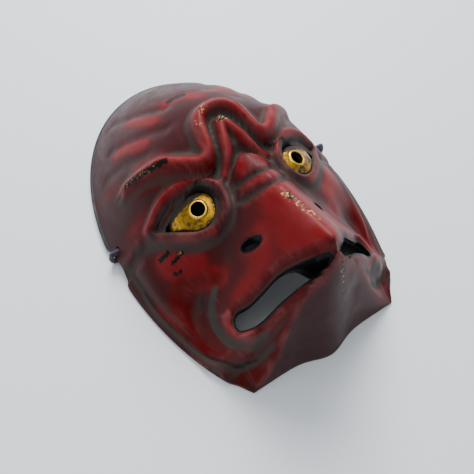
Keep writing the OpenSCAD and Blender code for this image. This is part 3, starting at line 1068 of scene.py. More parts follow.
@dataclass(frozen=True)
class EyeShape:
    """Plan and ball of the right eye, in mm on the drawing."""

    x: float = 30.5
    y: float = -18.0
    round_r: float = 8.5
    tail: float = 16.5
    tail_r: float = 1.0
    tail_turn: float = 20.0
    pupil_r: float = 3.8
    rim: float = 1.4
    lip: float = 0.7
    ball_r: float = 24.0
    plate_t: float = 1.2
    look_out: float = 22.0
    look_down: float = 12.0
    proud: float = 1.1

    def plan(self, grow: float = 0.0, steps: int = 56) -> Array:
        """Gives the eye's outline: an arc round the pupil and a small one at its outer corner.

        Args:
            grow: How far it is moved outwards.
            steps: Points of the large arc.

        Returns:
            The outline's points, anticlockwise.
        """
        half = math.degrees(math.acos((self.round_r - self.tail_r) / self.tail))
        t = math.radians(self.tail_turn)
        corner = (self.x + self.tail * math.cos(t), self.y + self.tail * math.sin(t))
        return np.vstack([
            arc((self.x, self.y), self.round_r + grow, self.tail_turn + half,
                self.tail_turn + 360 - half, steps),
            arc(corner, self.tail_r + grow, self.tail_turn - half, self.tail_turn + half, 8),
        ])

    def sight(self) -> Vector:
        """Gives the direction in which the eye looks."""
        turn = Matrix.Rotation(math.radians(self.look_out), 3, "Y") @ Matrix.Rotation(math.radians(self.look_down), 3, "X")
        return turn @ Vector((0, 0, 1))

    def top_z(self) -> float:
        """Gives the height of the ball under the pupil.

        Returns:
            The height, mm.
        """
        x, y = np.array([self.x]), np.array([self.y])
        c = CARVING
        face = c.crown(y) * (1 - (x / c.half_width(y)) ** 2) ** 1.08
        return float(c.lifted(y, face)[0]) + self.proud


EYE = EyeShape()


def mirrored(curve: Array) -> Array:
    """Gives the same outline on the left half, still anticlockwise."""
    return (curve * [-1, 1])[::-1]


@dataclass(frozen=True)
class Opening:
    """One hole through the face, as a closed outline in plan."""

    kind: str
    outline: Array

    def gap(self, x: Array, y: Array) -> tuple[Array, Array, Array]:
        """Measures points against the outline.

        Args:
            x: Across the face.
            y: Up the face.

        Returns:
            The distance, negative inside, and the x and y of the nearest place on the outline.
        """
        ring = np.vstack([self.outline, self.outline[:1]])
        gap, _, _, near_x, near_y = line_distance(x, y, ring)
        inside = np.zeros(x.shape, bool)
        for a, b in zip(ring[:-1], ring[1:]):
            crosses = (a[1] > y) != (b[1] > y)
            at_x = a[0] + (y - a[1]) * (b[0] - a[0]) / (b[1] - a[1] if b[1] != a[1] else 1e-12)
            inside ^= crosses & (x < at_x)
        return np.where(inside, -gap, gap), near_x, near_y


def grown(curve: Array, by: float) -> Array:
    """Moves a closed anticlockwise outline outwards.

    Args:
        curve: The outline, anticlockwise.
        by: How far outwards, mm.

    Returns:
        The moved outline.
    """
    run = np.roll(curve, -1, 0) - np.roll(curve, 1, 0)
    run /= np.maximum(np.linalg.norm(run, axis=1)[:, None], 1e-9)
    return curve + by * np.stack([run[:, 1], -run[:, 0]], -1)


def face_openings(grow: float = 0.0, ears: bool = True) -> list[Opening]:
    """Lists every hole through the face.

    Args:
        grow: How much wider each is on every side.
        ears: True to include the ear holes.

    Returns:
        The openings on both halves.
    """
    mouth = smooth_line(MOUTH, 6, closed=True)
    if np.sum(mouth[:, 0] * np.roll(mouth[:, 1], -1) - np.roll(mouth[:, 0], -1) * mouth[:, 1]) < 0:
        mouth = mouth[::-1]
    a = np.radians(np.arange(0, 360, 12))
    turn = math.radians(NOSTRIL_TURN)
    across = np.array([[math.cos(turn), math.sin(turn)], [-math.sin(turn), math.cos(turn)]])
    slit = np.stack([NOSTRIL_R[0] * np.cos(a), NOSTRIL_R[1] * np.sin(a)], -1) @ across
    right = [
        Opening("eye", EYE.plan(CARVING.fit_gap + grow)),
        Opening("mouth", grown(mouth, grow)),
        Opening("nostril", grown(slit + [20, -50], grow)),
    ]
    if ears:
        ear = np.stack([1.15 * np.cos(a), 2.3 * np.sin(a)], -1) + [CARVING.half_w - 3.9, CARVING.ear_y]
        right.append(Opening("ear", ear))
    return right + [Opening(o.kind, mirrored(o.outline)) for o in right]


@dataclass
class CarvedSheet:
    """A curved wall over the egg outline, with holes: the wood itself, or the lining in it.

    Attributes:
        cols: Cells across.
        rows: Cells up.
        share: Share of the outline that its back follows.
        openings: Its holes.
        margin: Extra rings of cells that fold down to the foot of its edge.
    """

    cols: int
    rows: int
    share: float
    openings: list[Opening]
    margin: int = 1
    x: Array = field(init=False)
    y: Array = field(init=False)
    gaps: dict[str, Array] = field(init=False)
    state: Array = field(init=False)

    def eased(self, t: Array, strength: float = 0.17) -> Array:
        """Spaces cells closer together toward the edges."""
        s = 2 * t - 1
        return (s * (1 + strength * (1 - s * s)) + 1) / 2

    def lay(self) -> bmesh.types.BMesh:
        """Lays the grid over the outline and fits its cells to the holes.

        Returns:
            The flat mesh, whose points' places are in ``x`` and ``y`` in mm.
        """
        m = self.margin
        cols, rows = self.cols + 2 * m, self.rows + 2 * m
        bm = bmesh.new()
        bmesh.ops.create_grid(bm, x_segments=cols, y_segments=rows, size=1)
        flat = np.array([v.co[:] for v in bm.verts])
        self.i = np.rint((flat[:, 0] + 1) / 2 * cols).astype(int)
        self.j = np.rint((flat[:, 1] + 1) / 2 * rows).astype(int)
        self.foot = (self.i < m) | (self.j < m) | (self.i > cols - m) | (self.j > rows - m)
        u = np.clip((self.i - m) / self.cols, 0, 1)
        v = np.clip((self.j - m) / self.rows, 0, 1)
        points = self.share * CARVING.place(self.eased(u), self.eased(v, 0.1))
        grid = np.empty((cols + 1, rows + 1), int)
        grid[self.i, self.j] = np.arange(len(flat))
        self.grid = grid
        x, y = points[:, 0], points[:, 1]
        self.gaps = {}
        state = np.zeros(len(x), int)
        owner = np.full(len(x), -1)
        for number, opening in enumerate(self.openings):
            box_lo, box_hi = opening.outline.min(0) - 14, opening.outline.max(0) + 14
            close = np.flatnonzero((x > box_lo[0]) & (x < box_hi[0]) & (y > box_lo[1]) & (y < box_hi[1]))
            gap, near_x, near_y = opening.gap(x[close], y[close])
            cell = self.cell_size(close, x, y)
            snapped = np.abs(gap) < 0.56 * cell
            x[close[snapped]], y[close[snapped]] = near_x[snapped], near_y[snapped]
            state[close[snapped]] = 1
            owner[close[snapped]] = number
            state[close[(gap < 0) & ~snapped]] = 2
        self.relax(x, y, state, owner)
        for opening in self.openings:
            box_lo, box_hi = opening.outline.min(0) - 14, opening.outline.max(0) + 14
            close = np.flatnonzero((x > box_lo[0]) & (x < box_hi[0]) & (y > box_lo[1]) & (y < box_hi[1]))
            gap, _, _ = opening.gap(x[close], y[close])
            known = self.gaps.setdefault(opening.kind, np.full(len(x), 99.0))
            known[close] = np.minimum(known[close], gap)
        self.x, self.y, self.state = x, y, state
        return bm

    def cell_size(self, which: Array, x: Array, y: Array) -> Array:
        """Gives the longest side of the cells at some points.

        Args:
            which: The points asked about.
            x: Places across, mm.
            y: Places along, mm.

        Returns:
            Sizes, mm.
        """
        cols, rows = self.grid.shape[0] - 1, self.grid.shape[1] - 1
        i, j = self.i[which], self.j[which]
        across = self.grid[np.minimum(i + 1, cols), j]
        up = self.grid[i, np.minimum(j + 1, rows)]
        return np.maximum(np.hypot(x[across] - x[which], y[across] - y[which]),
                          np.hypot(x[up] - x[which], y[up] - y[which]))

    def relax(self, x: Array, y: Array, state: Array, owner: Array) -> None:
        """Evens out the cells round the holes, keeping the holes' points on their outlines."""
        cols, rows = self.grid.shape[0] - 1, self.grid.shape[1] - 1
        touched = np.zeros(self.grid.shape, bool)
        touched[self.i[state == 1], self.j[state == 1]] = True
        for _ in range(4):
            wide = touched.copy()
            wide[1:] |= touched[:-1]
            wide[:-1] |= touched[1:]
            wide[:, 1:] |= touched[:, :-1]
            wide[:, :-1] |= touched[:, 1:]
            touched = wide
        inner = (self.i > 1) & (self.j > 1) & (self.i < cols - 1) & (self.j < rows - 1)
        moving = np.flatnonzero(touched[self.i, self.j] & inner)
        i, j = self.i[moving], self.j[moving]
        around = [self.grid[i + 1, j], self.grid[i - 1, j], self.grid[i, j + 1], self.grid[i, j - 1]]
        for _ in range(6):
            new_x = sum(x[k] for k in around) / 4
            new_y = sum(y[k] for k in around) / 4
            held = state[moving] == 1
            x[moving] = np.where(held, x[moving], 0.5 * (x[moving] + new_x))
            y[moving] = np.where(held, y[moving], 0.5 * (y[moving] + new_y))
        for _ in range(3):
            on = moving[state[moving] == 1]
            io, jo = self.i[on], self.j[on]
            sides = np.stack([self.grid[io + 1, jo], self.grid[io - 1, jo],
                              self.grid[io, jo + 1], self.grid[io, jo - 1]])
            same = (state[sides] == 1).astype(float)
            weight = np.maximum(same.sum(0), 1e-9)
            mean_x = (x[sides] * same).sum(0) / weight
            mean_y = (y[sides] * same).sum(0) / weight
            slide = same.sum(0) >= 2
            for number, opening in enumerate(self.openings):
                pick = slide & (owner[on] == number)
                if pick.any():
                    _, near_x, near_y = opening.gap(0.5 * (mean_x[pick] + x[on][pick]),
                                                    0.5 * (mean_y[pick] + y[on][pick]))
                    x[on[pick]], y[on[pick]] = near_x, near_y

    def pierce(self, bm: bmesh.types.BMesh) -> None:
        """Cuts the holes out of the laid mesh."""
        bm.verts.ensure_lookup_table()
        where = bm.verts.layers.int.new("drawing_point")
        for n, vert in enumerate(bm.verts):
            vert[where] = n
            vert.co = (self.x[n], self.y[n], 0)
        for face in list(bm.faces):
            states = [self.state[v[where]] for v in face.verts]
            if 2 in states and 0 in states:
                on = [v for v in face.verts if self.state[v[where]] == 1]
                if len(on) == 2:
                    bmesh.utils.face_split(face, on[0], on[1])
        inside = [v for v in bm.verts if self.state[v[where]] == 2]
        bmesh.ops.delete(bm, geom=inside, context="VERTS")
        edge_only = [f for f in bm.faces if all(self.state[v[where]] == 1 for v in f.verts)]
        if edge_only:
            centres = np.array([f.calc_center_median()[:2] for f in edge_only])
            lost = np.zeros(len(edge_only), bool)
            for opening in self.openings:
                lost |= opening.gap(centres[:, 0], centres[:, 1])[0] < 0
            bmesh.ops.delete(bm, geom=[f for f, gone in zip(edge_only, lost) if gone], context="FACES")
        loose = [v for v in bm.verts if not v.link_faces]
        bmesh.ops.delete(bm, geom=loose, context="VERTS")

    def thicken(self, bm: bmesh.types.BMesh, top: Array, low: Array, colours: dict[str, Array]) -> None:
        """Gives the pierced mesh its two sides.

        Args:
            bm: The pierced mesh.
            top: Drawing points of the outer side.
            low: Drawing points of the inner side.
            colours: Three channels for each point under each name; ``cover``'s first channel is
                set to 1 on the inner side.
        """
        where = bm.verts.layers.int["drawing_point"]
        paints = {name: bm.verts.layers.float_color.new(name) for name in colours}
        for vert in bm.verts:
            n = vert[where]
            for name, layer in paints.items():
                vert[layer] = (*colours[name][n], 1.0)
        faces = bm.faces[:]
        made = bmesh.ops.extrude_face_region(bm, geom=faces + bm.edges[:] + bm.verts[:], use_keep_orig=True)
        inner = {v for v in made["geom"] if isinstance(v, bmesh.types.BMVert)}
        top_m, low_m = CARVING.to_frame(top), CARVING.to_frame(low)
        for vert in bm.verts:
            n = vert[where]
            if vert in inner:
                vert.co = low_m[n]
                if "cover" in paints:
                    vert[paints["cover"]] = (1.0, 0.0, 0.0, 1.0)
            else:
                vert.co = top_m[n]
        bmesh.ops.remove_doubles(bm, verts=bm.verts, dist=1e-6)

    def blurred(self, height: Array, rounds: int) -> Array:
        """Spreads heights over their neighbours on the grid.

        Args:
            height: Relief, 0 to 1.
            rounds: Times the spreading is repeated.

        Returns:
            The spread heights.
        """
        h = height[self.grid]
        for _ in range(rounds):
            p = np.pad(h, 1, mode="edge")
            h = (4 * h + p[2:, 1:-1] + p[:-2, 1:-1] + p[1:-1, 2:] + p[1:-1, :-2]) / 8
        return h[self.i, self.j]


# ---- Sub-assemblies ----


@dataclass
class FaceShell:
    """The carved, ground and lacquered face.

    Attributes:
        cols: Cells across the face.
        rows: Cells up the face.
        pull_w: Width in mm of the strip inside the rim in which the wall narrows to its edge.
    """

    cols: int = 170
    rows: int = 236
    pull_w: float = 16.0

    red_zones: tuple[Stroke, ...] = (
        Stroke(BROW, 1.1, 3.6, 5.2, power=3),
        Stroke(((28, 8), (38, 20), (49, 30)), 0.6, 5.0, ends=(0.3, 0.2)),
        Stroke(WRINKLE, 1.0, 3.2, power=3),
        Stroke(((33, 73), (28, 60), (23, 44), (18, 33)), 0.85, 5.0, ends=(0.2, 0.3)),
        Stroke(((49, 58), (41, 48), (35, 37), (28, 27)), 0.9, 5.0, ends=(0.2, 0.3)),
        Stroke(((10, 49), (2, 46), (-4, 40)), 0.85, 6.5, side=Side.LEFT),
        Stroke(((14, 44), (24, 36)), 0.7, 6.0, side=Side.RIGHT),
        Stroke(((63, 40), (56, 34)), 0.5, 4.0),
        Stroke(((3, -46), (5, -56), (7, -70)), 0.85, 14.0, power=2.6),
        Stroke(((14, -50), (24, -62), (32, -64)), 0.8, 10.0),
        Stroke(((54, -22), (51, -30), (43, -36)), 0.95, 8.0),
        Stroke(((55, -37), (45, -41), (36, -49)), 0.9, 6.0),
        Stroke(((55, -3), (45, -1), (37, -2.5), (31, -5.5), (25, -9.5), (19, -15.5)), 0.95, 3.4),
        Stroke(((60, 4), (52, 1)), 0.6, 5.0),
        Stroke(((52, -13), (46, -20.5), (38, -27.5), (29, -32.5)), 0.8, 1.8),
        Stroke(((69, -34), (64, -52), (56, -74), (45, -92), (36, -99)), 0.8, 2.6),
        Stroke(((44, -66), (45, -76), (38, -84)), 0.7, 4.0),
        Stroke(((1, -84), (5, -86), (12, -90), (17, -95)), 0.75, 3.0, side=Side.RIGHT),
        Stroke(((4, -15), (6, -20)), 0.75, 4.0),
        Stroke(((2, -32), (8, -28)), 0.75, 3.0),
        Stroke(((5, -9), (3, -3)), 0.6, 3.0),
        Stroke(((52, -22), (54, -30), (44, -31)), 0.6, 7.0, side=Side.RIGHT),
    )
    # Painted shade: deep crimson in the cheek hollows, under the brows, under the beak's edge and along the lips
    # and chin.
    painted_shade_zones: tuple[Stroke, ...] = (
        Stroke(((55, -40), (57, -48), (58, -58), (56, -69), (50, -80), (42, -88)), 1.2, 7.0, power=3),
        Stroke(((50, -92), (38, -95), (28, -96)), 0.8, 4.0),
        Stroke(((55, -38), (45, -42), (38, -48)), 0.75, 4.0),
        Stroke(((52, 18), (44, 11.5), (37, 5.5), (31, 0), (25, -6.5), (18, -9.5)), 1.0, 3.8, power=3),
        Stroke(((20, -66), (30, -66.5), (39, -64.5)), 0.5, 3.0),
        Stroke(((7, -77.5), (14, -71.5), (20, -69.3), (28, -69), (36, -67.3)), 0.95, 2.4, power=3),
        Stroke(((15, -86), (30, -84), (44, -86)), 0.9, 2.4),
    )
    # Painted shade: black in the cheek hollows, along the lid creases and the upper lids, and along the groove
    # inside the jaw's rim.
    crease_shade_zones: tuple[Stroke, ...] = (
        Stroke(((41, -47.5), (47, -48.5), (51, -54)), 0.45, 3.0, ends=(0.4, 0.2)),
        Stroke(((52, -56), (53, -64), (51, -74)), 0.25, 3.0, ends=(0.2, 0.4)),
        Stroke(LID_CREASE, 0.6, 1.2),
        Stroke(((27, -8.5), (20, -10.5), (14.5, -9)), 0.6, 1.6),
        Stroke(((70, -22), (69, -36), (66, -50), (62, -64), (56, -77), (49, -85), (40, -89)), 0.55, 1.5),
    )
    dust_zones: tuple[Stroke, ...] = (
        Stroke(CHANNEL, 0.95, 1.7, power=3),
        Stroke(BRIDGE[0], 0.7, 1.3),
        Stroke(BRIDGE[1], 0.85, 1.2),
        Stroke(BRIDGE[2], 0.85, 1.2),
        Stroke(BRIDGE[3], 0.8, 1.6),
        Stroke(((17, -13), (16, -20), (17, -28), (22, -33)), 0.6, 2.2),
        Stroke(((53, -8), (47, -16), (40, -23), (33, -27.5), (26, -28)), 0.75, 1.4),
        Stroke(UNDER_EYE, 0.75, 2.8),
        Stroke(((72, -2), (71, -20), (71, -34), (68, -47), (65, -59), (61, -71), (55, -82), (47, -87), (39, -90),
                (32, -90)), 0.95, 2.0),
        Stroke(MOUTH_GROOVE, 1.1, 1.9, power=3),
        Stroke(((4, 24.5), (9, 21), (13.5, 14), (15.5, 5)), 0.45, 1.2),
        Stroke(((13, -82), (25, -82.5), (36, -84), (48, -86)), 0.6, 1.0, side=Side.RIGHT),
    )
    chips: tuple[Stroke, ...] = (
        Stroke(((52, 22), (45, 17), (38, 12), (33, 8.5)), 0.78, 1.9, side=Side.LEFT, power=3),
        Stroke(((8, 50), (2, 48.5)), 1.0, 3.4, side=Side.LEFT),
        Stroke(((4, 19.5), (8, 16.5)), 0.5, 1.5, side=Side.LEFT),
        Stroke(((-1, 8.8), (2, 9)), 0.85, 2.2, side=Side.RIGHT),
        Stroke(((56, -20), (52, -21)), 0.8, 2.1, side=Side.LEFT),
        Stroke(((52, -27), (46, -26.5)), 0.78, 1.8, side=Side.LEFT),
        Stroke(((54, -31), (50, -33)), 0.62, 1.8, side=Side.LEFT),
        Stroke(((0, -47), (0, -51)), 0.8, 1.8, side=Side.RIGHT),
        Stroke(((-1, -40),), 0.6, 0.9, side=Side.RIGHT),
        Stroke(((2, -85), (4, -87)), 0.66, 1.5, side=Side.RIGHT),
        Stroke(((70, -13), (69, -22)), 0.85, 2.0, side=Side.RIGHT),
        Stroke(((25, -13), (28, -10)), 0.9, 1.8, side=Side.RIGHT),
    )
    gilt_flecks: tuple[Stroke, ...] = (
        Stroke(((52, 22), (45, 17), (38, 12)), 0.5, 2.2, side=Side.LEFT),
        Stroke(((3, 20), (8, 17)), 1.0, 1.9, side=Side.LEFT),
        Stroke(((12, 13), (11.5, 9)), 0.85, 1.6, side=Side.LEFT),
        Stroke(((-1, 9), (4, 7.5)), 1.0, 2.0, side=Side.RIGHT),
        Stroke(((-1, -45), (0, -55), (2, -66)), 0.85, 2.2, side=Side.RIGHT),
        Stroke(((47, -26),), 0.7, 1.6, side=Side.LEFT),
        Stroke(((6, 50),), 0.4, 2.4, side=Side.LEFT),
        Stroke(((2, -85), (4, -90)), 0.7, 1.6, side=Side.RIGHT),
    )

    def outer(self, sheet: CarvedSheet) -> Array:
        """Works out the outer side's points.

        Args:
            sheet: The laid sheet.

        Returns:
            Drawing points in mm.
        """
        c, x, y = CARVING, sheet.x, sheet.y
        relief = summed(RIDGES, x, y)
        z = c.lifted(y, np.maximum(0, c.form(x, y) + relief * c.rim_fade(x, y)))
        mouth = np.maximum(0, sheet.gaps["mouth"])
        lip = c.form(x, y) - c.jaw(x, y) > 1.0
        z = z - np.where(lip, 5.0, 0.9) * bell(mouth, np.where(lip, 2.6, 1.4))
        z = z - 0.8 * bell(np.maximum(0, sheet.gaps["nostril"]), 1.2)
        z = z - 0.9 * bell(np.maximum(0, sheet.gaps["eye"]), 1.0)
        z = np.where(sheet.foot, c.foot_z(y), z)
        low = ramp(-y, 8.5, 11.5) * ramp(y - c.chin_edge(x), 6, 14)
        up = z - c.foot_z(y)
        push = low * (1.5 * (1 - ramp(up, 4.2, 6.2)) - 0.9 * bell(up - 7.5, 1.8))
        reach = 1 + push * ramp(np.abs(x), 20, 40) / np.maximum(np.hypot(x, y), 30)
        return np.stack([x * reach, y * reach, z], -1)

    def inner(self, sheet: CarvedSheet) -> Array:
        """Works out the inner side's points, which narrow to the rim's width along the edge.

        Args:
            sheet: The carved sheet.

        Returns:
            Points, mm.
        """
        c, x, y = CARVING, sheet.x, sheet.y
        length = np.where(y > 0, c.top_len, c.low_len)
        share = np.sqrt((x / c.half_w) ** 2 + (y / length) ** 2)
        side = ramp(share, 1 - self.pull_w / c.half_w, 1 - 1.0 / c.half_w)
        chin = 1 - ramp(y - c.chin_edge(x), 1.0, self.pull_w)
        k = 1 - (1 - c.in_k) * np.maximum(side, chin)
        px, py = k * x, k * y
        z = c.under_z(px, py, c.in_k, 0.0)
        rim = (sheet.i <= sheet.margin) | (sheet.j <= sheet.margin)
        rim |= (sheet.i >= sheet.i.max() - sheet.margin) | (sheet.j >= sheet.j.max() - sheet.margin)
        return np.stack([px, py, np.where(rim, c.foot_z(py), z)], -1)

    def colours(self, sheet: CarvedSheet, top: Array) -> dict[str, Array]:
        """Works out where each coat of the finish lies.

        Args:
            sheet: The laid sheet.
            top: Its outer points.

        Returns:
            Channels ``paint`` (red, dust, crest as a painted highlight), ``wear_and_shade`` (chip, fleck, black
            edge, which is black lacquer round the openings with black painted shade in the creases) and ``cover``
            (inner side,
            painted shade in the hollows, and deep: deep crimson painted shade with the jaw facets' own crimson).
        """
        x, y, z = top.T
        form = z - sheet.blurred(z, 24)
        fine = z - sheet.blurred(z, 5)
        # painted highlight: how far each point stands above its blurred surroundings
        crest_highlight = np.clip(form / 0.9, 0, 1) * 0.35 + np.clip(fine / 0.16, 0, 1) * 0.35
        # painted shade: the depth of each point below its blurred surroundings, which takes red out of the
        # hollows
        hollow = np.clip(-form / 0.9, 0, 1)
        red = strongest(self.red_zones, x, y)
        dust = np.maximum(strongest(self.dust_zones, x, y), 0.6 * np.clip(-fine / 0.2, 0, 1))
        eye = np.maximum(0, sheet.gaps["eye"])
        dust = np.maximum(dust, 0.9 * bell(eye, 2.2))
        # less red round the eyes, and less red in the hollows as painted shade
        red = red * (1 - 0.9 * bell(eye, 2.6)) * (1 - 0.35 * hollow)
        chip = strongest(self.chips, x, y)
        fleck = strongest(self.gilt_flecks, x, y)
        edge = bell(np.maximum(0, sheet.gaps["mouth"]), 0.8)
        edge = np.maximum(edge, bell(np.maximum(0, sheet.gaps["nostril"]), 0.7))
        edge = np.maximum(edge, 0.6 * bell(eye, 0.6))
        # painted shade: deep crimson in the hollows and under the brows and beak
        deep = strongest(self.painted_shade_zones, x, y)
        c = CARVING
        prow, jaw = 4 * (y - c.chin_edge(x)), c.jaw(x, y)
        below = ramp(-(y - MOUTH_LOW_Y), 0.0, 1.0) * (np.abs(x) < 43)
        facet = below * ramp(prow - jaw, -3.5, -1.0) * ramp(np.abs(x), 2, 5)
        front = below * ramp(jaw - prow, 1.0, 3.5)
        # the jaw's side facets get their own deep crimson; the chin's front loses the painted shade
        deep = np.maximum(deep * (1 - front), facet)
        red = np.maximum(red * (1 - 0.75 * front), facet)
        # black painted shade in the creases joins the black round the openings
        edge = np.maximum(edge, strongest(self.crease_shade_zones, x, y))
        nothing = np.zeros(len(x))
        return {
            "paint": np.stack([red, dust, np.clip(crest_highlight, 0, 1)], -1),
            "wear_and_shade": np.stack([chip, fleck, edge], -1),
            "cover": np.stack([nothing, hollow, deep], -1),
        }

    def build(self, finish: LacquerFinish) -> bpy.types.Object:
        """Carves and finishes the face.

        Args:
            finish: Its lacquer.

        Returns:
            The piece.
        """
        sheet = CarvedSheet(self.cols, self.rows, 1.0, face_openings())
        bm = sheet.lay()
        sheet.pierce(bm)
        top = self.outer(sheet)
        sheet.thicken(bm, top, self.inner(sheet), self.colours(sheet, top))
        return seated_piece(finished("face_shell", bm, finish.make(), sharp=48),
                            "red_lacquer", "carved_shell")


@dataclass
class RimBand:
    """The black band under the wood's edge above the ears, and inside the lining below them."""

    steps: int = 260
    section: int = 20
    corner: float = 1.1
    notch_h: float = 3.6
    notch_w: float = 5.0

    def outline(self, t: Array, up: float, low: float) -> Array:
        """Gives points of the outline, scaled by one share above the ears and another below.

        Args:
            t: 0 to 1 once round.
            up: Share above the ears.
            low: Share below them.

        Returns:
            Plan points.
        """
        c = CARVING
        low_turn = math.degrees(math.asin(-c.chin_len / c.low_len))
        egg = c.egg(low_turn + (180 - 2 * low_turn) * np.clip(t / 0.87, 0, 1))
        corner = c.half_w * math.cos(math.radians(low_turn))
        back = corner * (2 * np.clip((t - 0.87) / 0.13, 0, 1) - 1)
        chin = np.stack([back, c.chin_edge(back)], -1)
        plan = np.where((t < 0.87)[:, None], egg, chin)
        share = low + (up - low) * ramp(plan[:, 1], 11, 14)
        return plan * share[:, None]

    def build(self, finish: BlackFinish) -> bpy.types.Object:
        """Bends and finishes the band.

        Args:
            finish: Its lacquer.

        Returns:
            The piece.
        """
        c = CARVING
        band_k = c.lin_k2 - c.fit_gap / c.half_w
        corners = [(0, 0, 180, 270), (1, 0, 270, 360), (1, 1, 0, 90), (0, 1, 90, 180)]

        def shape(u: Array, v: Array) -> Array:
            """Puts each grid point on the band's rounded section.

            Args:
                u: Places round or along, 0 to 1.
                v: Places across, 0 to 1.

            Returns:
                Points in metres.
            """
            inside = self.outline(u, c.in_k, band_k - c.band_low_w / c.half_w)
            outside = self.outline(u, 1 + c.band_out / c.half_w, band_k)
            width = np.linalg.norm(outside - inside, axis=1)
            a = 2 * math.pi * v
            flat = 5
            cx = np.sign(np.cos(a)) * np.abs(np.cos(a)) ** (2 / flat)
            cz = np.sign(np.sin(a)) * np.abs(np.sin(a)) ** (2 / flat)
            plan = inside + (outside - inside) * (0.5 + 0.5 * cx)[:, None]
            floor = self.notch_h * (1 - ramp(np.abs(plan[:, 1] - c.ear_y),
                                             self.notch_w / 2, self.notch_w / 2 + 0.4))
            z = floor + (c.band_h - floor) * (0.5 + 0.5 * cz)
            return c.to_frame(np.stack([plan[:, 0], plan[:, 1], z], -1)) + 0 * width[:, None]

        bm = mapped_grid(self.steps, self.section, shape, around=True, along=True)
        return seated_piece(finished("rim_band_lacquer", bm, finish.make(), sharp=70),
                            "black_lacquer", "rim_band")


@dataclass
class Lining:
    """Cloth and lacquer that follow the hollow of the wood."""

    cols: int = 92
    rows: int = 128

    def build(self, finish: LiningFinish) -> bpy.types.Object:
        """Lays and finishes the lining.

        Args:
            finish: Its lacquered cloth.

        Returns:
            The piece.
        """
        c = CARVING
        sheet = CarvedSheet(self.cols, self.rows, c.lin_k, face_openings(c.fit_gap, ears=False), margin=0)
        bm = sheet.lay()
        sheet.pierce(bm)
        rim = (sheet.i == 0) | (sheet.j == 0) | (sheet.i == sheet.i.max()) | (sheet.j == sheet.j.max())
        lowest = np.where(np.abs(sheet.y - c.ear_y) < 3.4, c.band_h - 1.2, c.low_foot)
        x, y = sheet.x, sheet.y
        top = np.stack([x, y, np.where(rim, lowest,
                                       np.maximum(lowest, c.under_z(x, y, c.lin_k, c.fit_gap)))], -1)
        k = c.lin_k2 / c.lin_k
        length = np.where(y > 0, c.top_len, c.low_len)
        share = np.maximum(np.hypot(x / c.half_w, y / length) / c.lin_k,
                           1 - (y / c.lin_k - c.chin_edge(x)) / 60)
        pull = 1 - (1 - k) * ramp(share, 0.72, 0.99)
        px, py = pull * x, pull * y
        low_z = c.under_z(px, py, c.lin_k2, c.fit_gap + c.lining_t)
        low = np.stack([px, py, np.where(rim, lowest, np.maximum(lowest, low_z))], -1)
        sheet.thicken(bm, top, low, {})
        return seated_piece(finished("back_lining_cloth", bm, finish.make(), sharp=60),
                            "black_lining", "back_lining")


